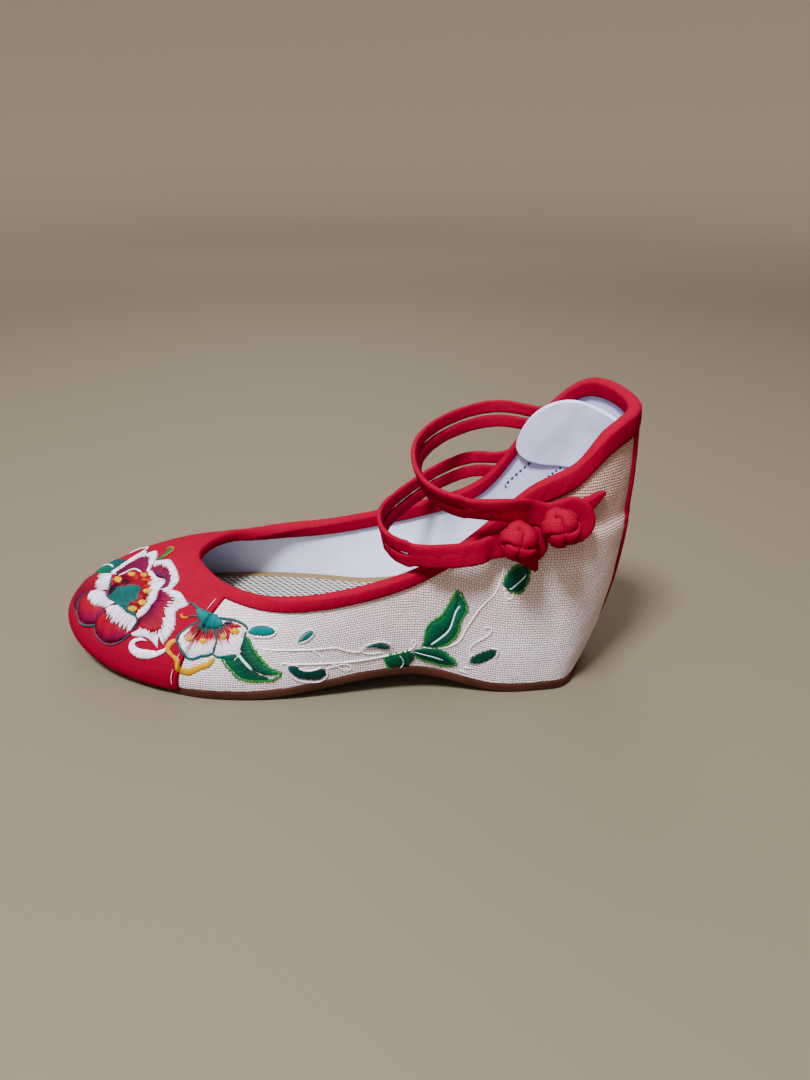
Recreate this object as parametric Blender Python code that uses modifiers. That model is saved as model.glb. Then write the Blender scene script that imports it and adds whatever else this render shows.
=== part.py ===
"""Left cloth shoe with a hidden wedge, a bound collar and two doubled cord straps on knot buttons.

X runs from heel to toe, +Y is the outer side of a left foot and +Z is up. The tables are in millimetres from
the back of the heel, and every point is moved to the middle of the shoe's box and scaled to metres.
"""

from collections import namedtuple

import bmesh
import bpy
import numpy as np

SHOE = "knot_strap_shoe"
MM = 0.001
BOX_MIDDLE = np.array([119.48, 3.456, 0.0])
UP = np.array([0.0, 0.0, 1.0])

# Wall, trim and clearances, in millimetres
GAP = 0.3
WALL = 1.8
CAP_THICK = 0.9
CAP_HEM = 1.0
BINDING_FRONT = 7.5
BINDING_HEEL = 12.0
BINDING_INSIDE = 6.0
BINDING_RISE = (58.0, 105.0)
BINDING_GAP = 0.6
BINDING_INNER_GAP = 0.9
BINDING_EDGE_GAP = 0.6
BINDING_THICK = 1.0
BINDING_HEM = 0.8
BINDING_SHOULDER = 0.4
BINDING_CROWN = 0.3
BINDING_ROLL = 1.6
STRIP_THICK = 0.9
STRIP_HALF = 0.34
PAD_THICK = 1.6
PAD_IN = 4.1
PAD_DROP_BACK = 13.0
PAD_DROP_FRONT = 1.5
PAD_BOTTOM = 79.5
PAD_TOP_INNER = 108.0
PAD_REACH = 3.1
PAD_STEPS = 12
PAD_RISE = (0.05, 0.5)
PAD_ROUND = 0.97

# Sole and footbed
SOLE_THICK = 3.8
SOLE_PROUD = 0.6
SOLE_BEVEL = 1.0
ARCH_RISE = 8.5
ARCH_X = (46.0, 86.0, 155.0)
TOE_SPRING = 5.5
SPRING_X = (185.0, 240.0)
FOOTBED_X = (15.0, 30.0, 50.0, 70.0, 90.0, 110.0, 150.0, 190.0, 232.0)
FOOTBED_Z = (51.0, 50.0, 44.0, 34.0, 24.0, 20.0, 18.0, 16.0, 14.5)
INSOLE_GAP = 2.0
INSOLE_ROWS = 5

# Straps and knot buttons
CORD_WIDE = 5.2
CORD_THICK = 2.2
CORD_SLIT = 0.9
CORD_FLAT = 0.6
EYE_HALF = 2.9
EYE_REACH = 18.0
EYE_PINCH = 0.35
EYE_SWELL = 0.5
EYE_TURN = (60, 30, 0, -30, -60)
LOOP_OUT = 4.0
SEWN_OUT = 3.5
EYE_LEAD = 8.0
BALL_RADIUS = 6.8
BALL_FLAT = 0.88
BALL_OUT = 11.9
NECK_RADIUS = 2.2
TAIL_HALF = (1.84, 2.3, 2.3, 2.3, 2.07, 1.61, 0.69)
TAIL_THICK = 1.5
TAIL_GAP = 0.55

# How finely the surfaces are cut
SAMPLES_PER_RIB = 4
WALL_ROWS = 8
RIB_STEPS = 81
PAD_ROWS = 6
STRAP_CUTS = 3
BALL_SIDES = 16
BALL_RINGS = 10
NECK_SIDES = 10
SHARP_ANGLE = 40

Rib = namedtuple("Rib", "name sole_x sole_y top_x top_y top_z low_out low_up high_out high_down")

# One row for each rib of the last, from the toe round the outer side, the heel and the inner side
RIBS = (
    Rib("toe", 237, -9, 176, 1, 45, 13, 8, 36, -0.5),
    Rib("outer_toe", 222, 16, 172.5, 8, 43.6, 13.5, 7.5, 26, 1.2),
    Rib("outer_toe_side", 199, 31, 164, 17, 42, 8.5, 8, 15, 2),
    Rib("outer_vamp", 177.5, 38.5, 155.5, 24, 42.1, 4, 13, 10, 4),
    Rib("outer_ball", 152, 40, 138, 33, 43.4, 2.5, 13, 3.5, 8),
    Rib("outer_instep", 126, 37.5, 118, 36.5, 46.6, 2.5, 14, 1.5, 12),
    Rib("outer_waist", 100, 32.5, 97, 35, 51.6, 3, 14, 1, 14),
    Rib("outer_arch", 78, 29, 77, 33, 60, 3, 16, 1, 18),
    Rib("outer_rise", 60, 28, 58, 31, 74.5, 3.5, 21, 1.5, 23),
    Rib("outer_quarter", 43, 27.3, 41, 29.3, 90, 4.5, 26, 2.5, 28),
    Rib("outer_counter", 30, 25, 26, 26.8, 97.8, 5.5, 28, 3.5, 33),
    Rib("outer_heel", 20, 19.5, 13.5, 20.3, 109.5, 6.5, 26, 4, 36),
    Rib("heel", 14.5, 0, 1.5, 0, 113.6, 12, 20, 3.5, 40),
    Rib("inner_heel", 20, -19.5, 13, -18.5, 117.8, 6.5, 26, 4, 36),
    Rib("inner_counter", 30, -24, 27.5, -25, 109, 5.5, 28, 3.5, 33),
    Rib("inner_quarter", 43, -25.8, 41.5, -30, 90.5, 4.5, 26, 2.5, 28),
    Rib("inner_rise", 60, -26, 57, -31.7, 69.7, 3.5, 21, 1.5, 23),
    Rib("inner_arch", 78, -25.5, 79, -34, 58.5, 3, 16, 1, 18),
    Rib("inner_waist", 100, -28, 102, -35.5, 51.5, 3, 14, 1, 14),
    Rib("inner_instep", 126, -34, 126, -36, 46, 2.5, 14, 2, 11),
    Rib("inner_ball", 152, -38.5, 146, -34, 43.8, 3, 13, 4.5, 7),
    Rib("inner_vamp", 176, -39.5, 160, -28.5, 43.1, 4, 13, 8.5, 4.5),
    Rib("inner_toe_side", 202, -37, 169.5, -20, 44.4, 6.5, 11, 16.5, -0.5),
    Rib("inner_toe", 225, -27.5, 175, -9, 45, 11, 9, 29.5, -3),
)
RIB_TABLE = [row[1:] for row in RIBS]
CAP_REACH = 3
HEEL_RIB = 12

Spot = namedtuple("Spot", "rib drop")
PathRow = namedtuple("PathRow", "x y z lean")
Strap = namedtuple("Strap", "name sewn crossing free knot tail ball_rise eye_past")

# A spot is a place on the wall: its rib number and the distance down from the collar.
# Free rows follow the middle of the strap in the air, and lean is its outward tilt in degrees.
STRAPS = (
    Strap(
        "rear",
        Spot(13.8, 12.5),
        Spot(14.58, 2.0),
        (
            PathRow(48, -36, 98.1, 8),
            PathRow(62, -33, 97.2, 6),
            PathRow(74.5, -22.5, 95, 6),
            PathRow(82, -8, 93.2, 8),
            PathRow(84, 4, 90.9, 14),
            PathRow(82, 17, 88.4, 22),
            PathRow(75, 31, 86.6, 26),
            PathRow(62, 39, 86.0, 34),
            PathRow(49, 39.8, 86.2, 38),
        ),
        Spot(9.5, 14.2),
        Spot(10.87, 22.7),
        0.0,
        4.0,
    ),
    Strap(
        "front",
        Spot(15.05, 11.0),
        Spot(15.62, 1.5),
        (
            PathRow(62, -35.5, 75, 6),
            PathRow(75.5, -30, 71.4, 4),
            PathRow(86, -19, 68.4, 4),
            PathRow(93.5, -4, 67.3, 8),
            PathRow(97, 11, 67.2, 12),
            PathRow(94.5, 24, 65.5, 12),
            PathRow(86, 35, 65.8, 8),
            PathRow(73, 39.8, 67.3, 0),
            PathRow(60, 39.0, 68.8, -8),
        ),
        Spot(8.68, 15.2),
        Spot(9.22, 35.0),
        4.5,
        0.5,
    ),
)

Finish = namedtuple("Finish", "colour roughness")
FINISHES = {
    "linen": Finish((0.70, 0.58, 0.52, 1), 0.9),
    "red_cloth": Finish((0.55, 0.01, 0.03, 1), 0.8),
    "white_lining": Finish((0.75, 0.74, 0.78, 1), 0.85),
    "footbed": Finish((0.62, 0.58, 0.50, 1), 0.85),
    "brown_rubber": Finish((0.10, 0.035, 0.02, 1), 0.6),
}


def unit(vectors):
    """Vectors of length one."""
    return vectors / np.linalg.norm(vectors, axis=-1, keepdims=True)


def ramp(value, low, high):
    """Smooth step from 0 at low to 1 at high."""
    t = np.clip((value - low) / (high - low), 0, 1)
    return t * t * (3 - 2 * t)


def spline(rows, places, closed):
    """Cubic spline with even knots through the rows: values and slopes at the places, counted in rows."""
    rows = np.asarray(rows, float)
    count = len(rows)
    index = np.arange(count)
    system = np.zeros((count, count))
    system[index, index] = 4
    system[index, (index + 1) % count] += 1
    system[index, index - 1] += 1
    pull = 3 * (np.roll(rows, -1, axis=0) - np.roll(rows, 1, axis=0))
    if not closed:
        for end, inner in ((0, 1), (count - 1, count - 2)):
            system[end] = 0
            system[end, end] = 2
            system[end, inner] = 1
        pull[0] = 3 * (rows[1] - rows[0])
        pull[-1] = 3 * (rows[-1] - rows[-2])
    slopes = np.linalg.solve(system, pull)
    places = np.asarray(places, float)
    before = np.floor(places).astype(int)
    if not closed:
        before = np.clip(before, 0, count - 2)
    f = (places - before)[..., None]
    a = before % count
    b = (before + 1) % count
    value = (
        (1 + 2 * f) * (1 - f) ** 2 * rows[a]
        + f * (1 - f) ** 2 * slopes[a]
        + f * f * (3 - 2 * f) * rows[b]
        + f * f * (f - 1) * slopes[b]
    )
    slope = (
        6 * f * (f - 1) * (rows[a] - rows[b])
        + (1 - f) * (1 - 3 * f) * slopes[a]
        + f * (3 * f - 2) * slopes[b]
    )
    return value, slope


def sole_bottom(x):
    """Height of the sole's underside: flat under heel and ball, arched between, sprung at the toe."""
    arch = ARCH_RISE * ramp(x, ARCH_X[0], ARCH_X[1]) * (1 - ramp(x, ARCH_X[1], ARCH_X[2]))
    spring = np.clip((x - SPRING_X[0]) / (SPRING_X[1] - SPRING_X[0]), 0, None)
    return arch + TOE_SPRING * spring**2


def seat(x):
    """Height just over the sole, where the upper and the insole stand."""
    return sole_bottom(x) + SOLE_THICK + GAP


def outward(slopes):
    """Level outward direction beside a ring that runs anticlockwise."""
    return unit(np.stack([slopes[..., 1], -slopes[..., 0], np.zeros(slopes.shape[:-1])], axis=-1))


def rib_handles(place):
    """The four Bezier points of the rib at a place on the ring, from sole to collar."""
    value, slope = spline(RIB_TABLE, place, closed=True)
    sole_x, sole_y, top_x, top_y, top_z, low_out, low_up, high_out, high_down = np.moveaxis(value, -1, 0)
    sole = np.stack([sole_x, sole_y, seat(sole_x)], axis=-1)
    top = np.stack([top_x, top_y, top_z], axis=-1)
    low = sole + low_out[..., None] * outward(slope[..., 0:2]) + low_up[..., None] * UP
    high = top + high_out[..., None] * outward(slope[..., 2:4]) - high_down[..., None] * UP
    return sole, low, high, top


def rib_point(place, climb):
    """Point of the outer face: climb is 0 at the sole and 1 at the collar."""
    sole, low, high, top = rib_handles(place)
    c = np.asarray(climb, float)[..., None]
    return (1 - c) ** 3 * sole + 3 * c * (1 - c) ** 2 * low + 3 * c * c * (1 - c) * high + c**3 * top


def rib_normal(place, climb):
    """Outward normal of the outer face."""
    step = 1e-3
    along = rib_point(place + step, climb) - rib_point(place - step, climb)
    rise = rib_point(place, climb + step) - rib_point(place, climb - step)
    return unit(np.cross(along, rise))


def rib_scale(place):
    """Climb values down one rib, with the length from the collar and the height at each."""
    climb = np.linspace(1, 0, RIB_STEPS)
    line = rib_point(np.full(climb.shape, float(place)), climb)
    steps = np.linalg.norm(np.diff(line, axis=0), axis=1)
    return climb, np.concatenate([[0], np.cumsum(steps)]), line[:, 2]


def wall(place, drop, out=0.0):
    """Point at a distance down from the collar, moved off the outer face, and the normal there."""
    climb, length, _ = rib_scale(place)
    at = np.interp(drop, length, climb)
    normal = rib_normal(float(place), at)
    return rib_point(float(place), at) + out * normal, normal


def binding_leg(place):
    """Width of the binding on the outer face: narrow along the foot, wide round the heel."""
    top_z = rib_point(float(place), 1.0)[2]
    return BINDING_FRONT + (BINDING_HEEL - BINDING_FRONT) * ramp(top_z, *BINDING_RISE)


def wall_drops(place, hem=0.0):
    """Distances of the wall's rows from the collar: its edge, the binding's edge, then even steps down."""
    leg = binding_leg(place)
    drops = np.concatenate([[0.0], np.linspace(leg, rib_scale(place)[1][-1], WALL_ROWS + 1)])
    drops[-1] -= hem
    return drops


def wall_rows(places, out=0.0, hem=0.0, first=0):
    """Rows of wall points, one row for each height and one point in it for each place."""
    columns = [[wall(p, d, out)[0] for d in wall_drops(p, hem)[first:]] for p in places]
    return np.array(columns).transpose(1, 0, 2)


def ring_places():
    """Every place where the ring of ribs is cut."""
    return np.arange(len(RIBS) * SAMPLES_PER_RIB) / SAMPLES_PER_RIB


def put(name, points, faces, finish, kind="part"):
    """Mesh object from points in millimetres, in the collection of its kind."""
    mesh = bpy.data.meshes.new(name)
    mesh.from_pydata((np.asarray(points) - BOX_MIDDLE) * MM, [], faces)
    obj = bpy.data.objects.new(name, mesh)
    COLLECTIONS[kind].objects.link(obj)
    if kind == "joined":
        obj.hide_render = True
        obj.display_type = "WIRE"
    mesh.materials.append(MATERIALS[finish])
    mesh.shade_smooth()
    mesh.set_sharp_from_angle(angle=np.radians(SHARP_ANGLE))
    return obj


def strip_faces(rows, columns, closed):
    """Quads between neighbouring rows of a grid, which may close on itself across its columns."""
    faces = []
    for r in range(rows - 1):
        for c in range(columns if closed else columns - 1):
            near = r * columns + c
            side = r * columns + (c + 1) % columns
            faces.append((near, near + columns, side + columns, side))
    return faces


def ladder_faces(start, columns, flip):
    """Faces across a ring whose first point is the toe and whose halves match, closed at toe and heel."""
    faces = []
    half = columns // 2
    for c in range(half):
        a = start + c
        b = start + c + 1
        mate_a = start + (columns - c) % columns
        mate_b = start + columns - c - 1
        corners = [a, b, mate_b, mate_a]
        corners = list(dict.fromkeys(corners))
        faces.append(tuple(reversed(corners)) if flip else tuple(corners))
    return faces


def sheet(name, rows, closed, thick, side, finish, kind="part"):
    """Wall of one thickness, grown from an open grid towards its outer side (1) or inner side (-1)."""
    faces = strip_faces(rows.shape[0], rows.shape[1], closed)
    obj = put(name, rows.reshape(-1, 3), faces, finish, kind)
    solidify = obj.modifiers.new("thickness", "SOLIDIFY")
    solidify.thickness = thick * MM
    solidify.offset = side
    return obj


def stack(name, rings, finish):
    """Closed solid of rings from bottom to top, capped across."""
    columns = rings.shape[1]
    faces = strip_faces(len(rings), columns, closed=True)
    faces = [tuple(reversed(face)) for face in faces]
    faces += ladder_faces(0, columns, flip=True)
    faces += ladder_faces((len(rings) - 1) * columns, columns, flip=False)
    return put(name, rings.reshape(-1, 3), faces, finish)


def tube(name, sections, closed, finish):
    """Solid swept through equal sections, closed in a ring or capped at both ends."""
    count, corners = sections.shape[:2]
    faces = strip_faces(count, corners, closed=True)
    last = (count - 1) * corners
    if closed:
        faces += [(last + c, c, (c + 1) % corners, last + (c + 1) % corners) for c in range(corners)]
    else:
        faces.append(tuple(range(corners)))
        faces.append(tuple(last + c for c in reversed(range(corners))))
    obj = put(name, sections.reshape(-1, 3), faces, finish)
    mesh = bmesh.new()
    mesh.from_mesh(obj.data)
    bmesh.ops.recalc_face_normals(mesh, faces=mesh.faces)
    mesh.to_mesh(obj.data)
    mesh.free()
    return obj


def make_outsole():
    """Thin rubber sole with its edge just proud of the upper and a bevel under it."""
    _, slope = spline(RIB_TABLE, ring_places(), closed=True)
    feather = rib_handles(ring_places())[0]
    aside = outward(slope[:, 0:2])
    rings = []
    for out, lift in ((SOLE_PROUD - SOLE_BEVEL, 0.0), (SOLE_PROUD, SOLE_BEVEL), (SOLE_PROUD, SOLE_THICK)):
        ring = feather + out * aside
        ring[:, 2] = sole_bottom(feather[:, 0]) + lift
        rings.append(ring)
    return stack("outsole", np.array(rings), "brown_rubber")


def make_insole():
    """Footbed and hidden wedge in one, filling the bottom of the upper up to the footbed."""
    rings = []
    for part in np.linspace(0, 1, INSOLE_ROWS):
        ring = []
        for place in ring_places():
            climb, _, height = rib_scale(place)
            foot = rib_point(place, 0.0)
            top = np.interp(foot[0], FOOTBED_X, FOOTBED_Z)
            level = foot[2] + part * (top - foot[2])
            at = np.interp(level, height[::-1], climb[::-1])
            aside = rib_normal(place, at)[:2]
            x, y = rib_point(place, at)[:2] - (WALL + INSOLE_GAP) * aside / (aside @ aside)
            ring.append((x, y, level))
        rings.append(ring)
    return stack("insole", np.array(rings), "footbed")


def make_upper():
    """Linen wall of the last, open at the collar and underneath."""
    return sheet("upper", wall_rows(ring_places()), True, WALL, -1, "linen")


def make_toe_cap():
    """Red panel over the toe, from the binding down to the sole, between the two vamp ribs."""
    reach = CAP_REACH * SAMPLES_PER_RIB
    places = np.arange(-reach, reach + 1) / SAMPLES_PER_RIB
    rows = wall_rows(places, GAP, CAP_HEM, first=1)
    return sheet("toe_cap", rows, False, CAP_THICK, 1, "red_cloth")


def make_heel_strip():
    """Narrow red strip down the back seam."""
    cut = 1 / SAMPLES_PER_RIB
    places = HEEL_RIB + np.array([-STRIP_HALF, -cut, 0, cut, STRIP_HALF])
    rows = wall_rows(places, GAP, CAP_HEM, first=1)
    return sheet("heel_strip", rows, False, STRIP_THICK, 1, "red_cloth")


def make_collar_binding():
    """Folded cloth over the collar edge: a wide leg outside, a roll on top and a narrow leg inside."""
    inner = -WALL - BINDING_INNER_GAP
    outer = BINDING_GAP
    hem_thick = BINDING_HEM * BINDING_THICK
    sections = []
    for place in ring_places():
        leg = binding_leg(place)
        edge, edge_normal = wall(place, 0.0)
        hem, hem_normal = wall(place, leg)
        outline = (
            (leg - BINDING_EDGE_GAP, outer),
            (leg - BINDING_EDGE_GAP, outer + hem_thick),
            (BINDING_SHOULDER, outer + BINDING_THICK),
            (-BINDING_ROLL, outer - BINDING_CROWN),
            (-BINDING_ROLL, inner + BINDING_CROWN),
            (BINDING_SHOULDER, inner - BINDING_THICK),
            (BINDING_INSIDE, inner - hem_thick),
            (BINDING_INSIDE, inner),
            (-BINDING_EDGE_GAP, inner),
            (-BINDING_EDGE_GAP, outer),
        )
        down = unit(hem - edge)
        normal = edge_normal + hem_normal
        normal = unit(normal - (normal @ down) * down)
        sections.append([edge + along * down + out * normal for along, out in outline])
    return tube("collar_binding", np.array(sections), True, "red_cloth")


def make_heel_pad():
    """Soft grip inside the heel, level below and round at both ends. Its inner end stands over the collar."""
    columns = []
    for step in range(-PAD_STEPS, PAD_STEPS + 1):
        place = HEEL_RIB + PAD_REACH * step / PAD_STEPS
        forward = abs(step) / PAD_STEPS
        collar_z = rib_point(place, 1.0)[2]
        front = collar_z - PAD_TOP_INNER if step > 0 else PAD_DROP_FRONT
        top = PAD_DROP_BACK + (front - PAD_DROP_BACK) * ramp(forward, *PAD_RISE)
        bottom = collar_z - PAD_BOTTOM
        half = (bottom - top) / 2 * np.sqrt(1 - (PAD_ROUND * forward) ** 4)
        drops = (top + bottom) / 2 + half * np.linspace(-1, 1, PAD_ROWS)
        columns.append([wall(place, drop, -PAD_IN)[0] + max(-drop, 0) * UP for drop in drops])
    rows = np.array(columns).transpose(1, 0, 2)
    return sheet("heel_pad", rows, False, PAD_THICK, -1, "white_lining")


def tilt(normal):
    """Outward lean of a strap that lies flat on the wall, in degrees."""
    return -np.degrees(np.arcsin(normal[2]))


def strap_frame(strap):
    """Middle line of a strap with its width and outward directions, from the sewn end to past the knot."""
    rows = []
    for spot in (strap.sewn, strap.crossing):
        point, normal = wall(*spot, SEWN_OUT)
        rows.append((*point, tilt(normal)))
    rows += [tuple(row) for row in strap.free]
    neck, normal = wall(*strap.knot, LOOP_OUT)
    run = neck - np.array(rows[-1][:3])
    run = unit(run - (run @ normal) * normal)
    rows.append((*(neck - EYE_LEAD * run), tilt(normal)))
    rows.append((*(neck + strap.eye_past * run), tilt(normal)))
    places = np.linspace(0, len(rows) - 1, STRAP_CUTS * (len(rows) - 1) + 1)
    value, slope = spline(rows, places, closed=False)
    along = unit(slope[:, :3])
    lean = np.radians(value[:, 3:])
    level = outward(slope[:, :2])
    aim = np.cos(lean) * level - np.sin(lean) * UP
    across = unit(np.cross(aim, along))
    return value[:, :3], along, across, np.cross(along, across)


def cord_section(point, across, out, pinch):
    """Six-sided section of the flattened cord, narrower and thicker where it is pinched."""
    half = CORD_WIDE / 2 * (1 - pinch)
    thick = CORD_THICK / 2 * (1 + EYE_SWELL * pinch)
    corners = ((1, 0), (CORD_FLAT, 1), (-CORD_FLAT, 1), (-1, 0), (-CORD_FLAT, -1), (CORD_FLAT, -1))
    return [point + a * half * across + b * thick * out for a, b in corners]


def make_strap(strap):
    """One cord folded double: out to the knot, round its neck through an eye, and back beside itself."""
    middle, along, across, out = strap_frame(strap)
    near_eye = 1 - ramp(np.linalg.norm(middle - middle[-1], axis=1), 0, EYE_REACH)
    pinch = EYE_PINCH * near_eye
    slit = CORD_SLIT / 2
    half = slit + (EYE_HALF - slit) * near_eye + CORD_WIDE / 2 * (1 - pinch)
    away = [cord_section(m + h * a, a, o, p) for m, h, a, o, p in zip(middle, half, across, out, pinch)]
    back = [cord_section(m - h * a, -a, o, p) for m, h, a, o, p in zip(middle, half, across, out, pinch)]
    turn = []
    for angle in np.radians(EYE_TURN):
        spoke = np.sin(angle) * across[-1] + np.cos(angle) * along[-1]
        turn.append(cord_section(middle[-1] + half[-1] * spoke, spoke, out[-1], EYE_PINCH))
    return tube(f"strap_{strap.name}", np.array(away + turn + back[::-1]), False, "red_cloth")


def primitive(create, **settings):
    """Points and faces of one of the mesh module's ready shapes."""
    mesh = bmesh.new()
    create(mesh, **settings)
    mesh.verts.index_update()
    points = np.array([vert.co for vert in mesh.verts])
    faces = [[vert.index for vert in face.verts] for face in mesh.faces]
    mesh.free()
    return points, faces


def make_tail(strap, normal):
    """Tapered end of the knot's cord, sewn flat on the quarter."""
    start = np.array(strap.knot)
    tip = np.array(strap.tail)
    spots = [start + (tip - start) * f for f in np.linspace(0, 1, len(TAIL_HALF))]
    line = np.array([wall(place, drop, TAIL_GAP)[0] for place, drop in spots])
    run = unit(np.gradient(line, axis=0))
    aside = np.array(TAIL_HALF)[:, None] * unit(np.cross(normal, run))
    rows = np.array([line + aside, line - aside])
    return sheet(f"tail_{strap.name}", rows, False, TAIL_THICK, 1, "red_cloth", "joined")


def make_knot(strap):
    """Ball of knotted cord on a neck through the strap's eye, with its tail sewn to the quarter."""
    foot, normal = wall(*strap.knot)
    side = unit(np.cross(normal, UP))
    basis = np.array([side, np.cross(normal, side), normal])
    points, faces = primitive(
        bmesh.ops.create_uvsphere, u_segments=BALL_SIDES, v_segments=BALL_RINGS, radius=BALL_RADIUS
    )
    ball_at = foot + BALL_OUT * normal + strap.ball_rise * UP
    knot = put(f"knot_{strap.name}", (points * (1, 1, BALL_FLAT)) @ basis + ball_at, faces, "red_cloth")
    points, faces = primitive(
        bmesh.ops.create_cone,
        cap_ends=True,
        segments=NECK_SIDES,
        radius1=NECK_RADIUS,
        radius2=NECK_RADIUS,
        depth=1,
    )
    base = TAIL_GAP + TAIL_THICK / 2
    neck_at = foot + (BALL_OUT + base) / 2 * normal
    points = (points * (1, 1, BALL_OUT - base)) @ basis + neck_at
    neck = put(f"neck_{strap.name}", points, faces, "red_cloth", "joined")
    for piece in (neck, make_tail(strap, normal)):
        join = knot.modifiers.new("join", "BOOLEAN")
        join.operation = "UNION"
        join.object = piece
    return knot


def make_materials():
    """One plain finish for each cloth, rubber or lining."""
    made = {}
    for name, finish in FINISHES.items():
        material = bpy.data.materials.new(name)
        material.use_nodes = True
        shader = material.node_tree.nodes["Principled BSDF"]
        shader.inputs["Base Color"].default_value = finish.colour
        shader.inputs["Roughness"].default_value = finish.roughness
        shader.inputs["Metallic"].default_value = 0
        made[name] = material
    return made


def make_collections():
    """One collection for the shoe's pieces and one for the shapes that are joined into them."""
    made = {"part": bpy.data.collections.new(SHOE), "joined": bpy.data.collections.new(f"{SHOE}_joined")}
    for collection in made.values():
        bpy.context.scene.collection.children.link(collection)
    return made


for old in list(bpy.data.objects):
    bpy.data.objects.remove(old)
MATERIALS = make_materials()
COLLECTIONS = make_collections()
make_outsole()
make_insole()
make_upper()
make_toe_cap()
make_heel_strip()
make_collar_binding()
make_heel_pad()
for strap_row in STRAPS:
    make_strap(strap_row)
    make_knot(strap_row)
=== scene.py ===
import math
import bpy
import numpy as np
from mathutils import Matrix


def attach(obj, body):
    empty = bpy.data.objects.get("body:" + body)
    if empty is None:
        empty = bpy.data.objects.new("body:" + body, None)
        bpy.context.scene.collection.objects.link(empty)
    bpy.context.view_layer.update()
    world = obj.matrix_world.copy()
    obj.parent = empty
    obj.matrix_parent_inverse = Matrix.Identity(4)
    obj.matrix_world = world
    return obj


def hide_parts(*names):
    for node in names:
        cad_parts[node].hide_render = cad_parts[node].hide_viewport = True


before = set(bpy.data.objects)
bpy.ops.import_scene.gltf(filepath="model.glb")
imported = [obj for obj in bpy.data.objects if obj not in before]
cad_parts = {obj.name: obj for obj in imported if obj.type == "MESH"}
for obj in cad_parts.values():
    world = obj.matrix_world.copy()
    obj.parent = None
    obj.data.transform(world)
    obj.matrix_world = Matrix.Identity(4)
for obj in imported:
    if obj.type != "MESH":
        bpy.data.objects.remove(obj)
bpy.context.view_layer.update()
print("frame loaded with", len(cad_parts), "nodes")

# The form the shoe is built on, in millimetres from the back of the heel
shoeForm = {
    "middle": np.array([119.48, 3.456, 0]), "metresPerMm": 0.001, "gap": 0.3, "soleThick": 3.8,
    "archRise": 8.5, "archX": (46, 86, 155), "toeSpring": 5.5, "springX": (185, 240),
    "ribSteps": 81, "heelRib": 12, "ringClimb": 0.35, "toeFade": (1.6, 3.6), "endGap": 0.03,
    "endCrowding": 0.75,
    # foot x y, collar x y z, low handle out and up, high handle out and down; from the toe by the outer side
    "ribs": np.array([
        (237, -9, 176, 1, 45, 13, 8, 36, -0.5),
        (222, 16, 172.5, 8, 43.6, 13.5, 7.5, 26, 1.2),
        (199, 31, 164, 17, 42, 8.5, 8, 15, 2),
        (177.5, 38.5, 155.5, 24, 42.1, 4, 13, 10, 4),
        (152, 40, 138, 33, 43.4, 2.5, 13, 3.5, 8),
        (126, 37.5, 118, 36.5, 46.6, 2.5, 14, 1.5, 12),
        (100, 32.5, 97, 35, 51.6, 3, 14, 1, 14),
        (78, 29, 77, 33, 60, 3, 16, 1, 18),
        (60, 28, 58, 31, 74.5, 3.5, 21, 1.5, 23),
        (43, 27.3, 41, 29.3, 90, 4.5, 26, 2.5, 28),
        (30, 25, 26, 26.8, 97.8, 5.5, 28, 3.5, 33),
        (20, 19.5, 13.5, 20.3, 109.5, 6.5, 26, 4, 36),
        (14.5, 0, 1.5, 0, 113.6, 12, 20, 3.5, 40),
        (20, -19.5, 13, -18.5, 117.8, 6.5, 26, 4, 36),
        (30, -24, 27.5, -25, 109, 5.5, 28, 3.5, 33),
        (43, -25.8, 41.5, -30, 90.5, 4.5, 26, 2.5, 28),
        (60, -26, 57, -31.7, 69.7, 3.5, 21, 1.5, 23),
        (78, -25.5, 79, -34, 58.5, 3, 16, 1, 18),
        (100, -28, 102, -35.5, 51.5, 3, 14, 1, 14),
        (126, -34, 126, -36, 46, 2.5, 14, 2, 11),
        (152, -38.5, 146, -34, 43.8, 3, 13, 4.5, 7),
        (176, -39.5, 160, -28.5, 43.1, 4, 13, 8.5, 4.5),
        (202, -37, 169.5, -20, 44.4, 6.5, 11, 16.5, -0.5),
        (225, -27.5, 175, -9, 45, 11, 9, 29.5, -3),
    ], float),
}
upward = np.array([0.0, 0.0, 1.0])
ribCount = len(shoeForm["ribs"])
halfRibs = ribCount / 2


def unitRows(v):
    return v / np.maximum(np.linalg.norm(v, axis=-1, keepdims=True), 1e-12)


def easeStep(v, low, high):  # 0 below low, 1 above high, a smooth cubic between
    t = np.clip((np.asarray(v, float) - low) / (high - low), 0, 1)
    return t * t * (3 - 2 * t)


def easeIn(count, crowding=1.0):  # shares from 0 to 1, closer together at both ends
    even = np.linspace(0, 1, count)
    return crowding * (0.5 - 0.5 * np.cos(np.pi * even)) + (1 - crowding) * even


def ringTurn(count, start=0.0):  # even angles all round
    return np.arange(count) * 2 * np.pi / count + start


def runRows(lines):  # running length along lines of points, from 0, one line in each row
    steps = np.linalg.norm(np.diff(lines, axis=1), axis=-1)
    return np.concatenate([np.zeros((len(lines), 1)), np.cumsum(steps, axis=1)], axis=1)


def runAlong(line):  # the same for one line
    return runRows(line[None])[0]


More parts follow.
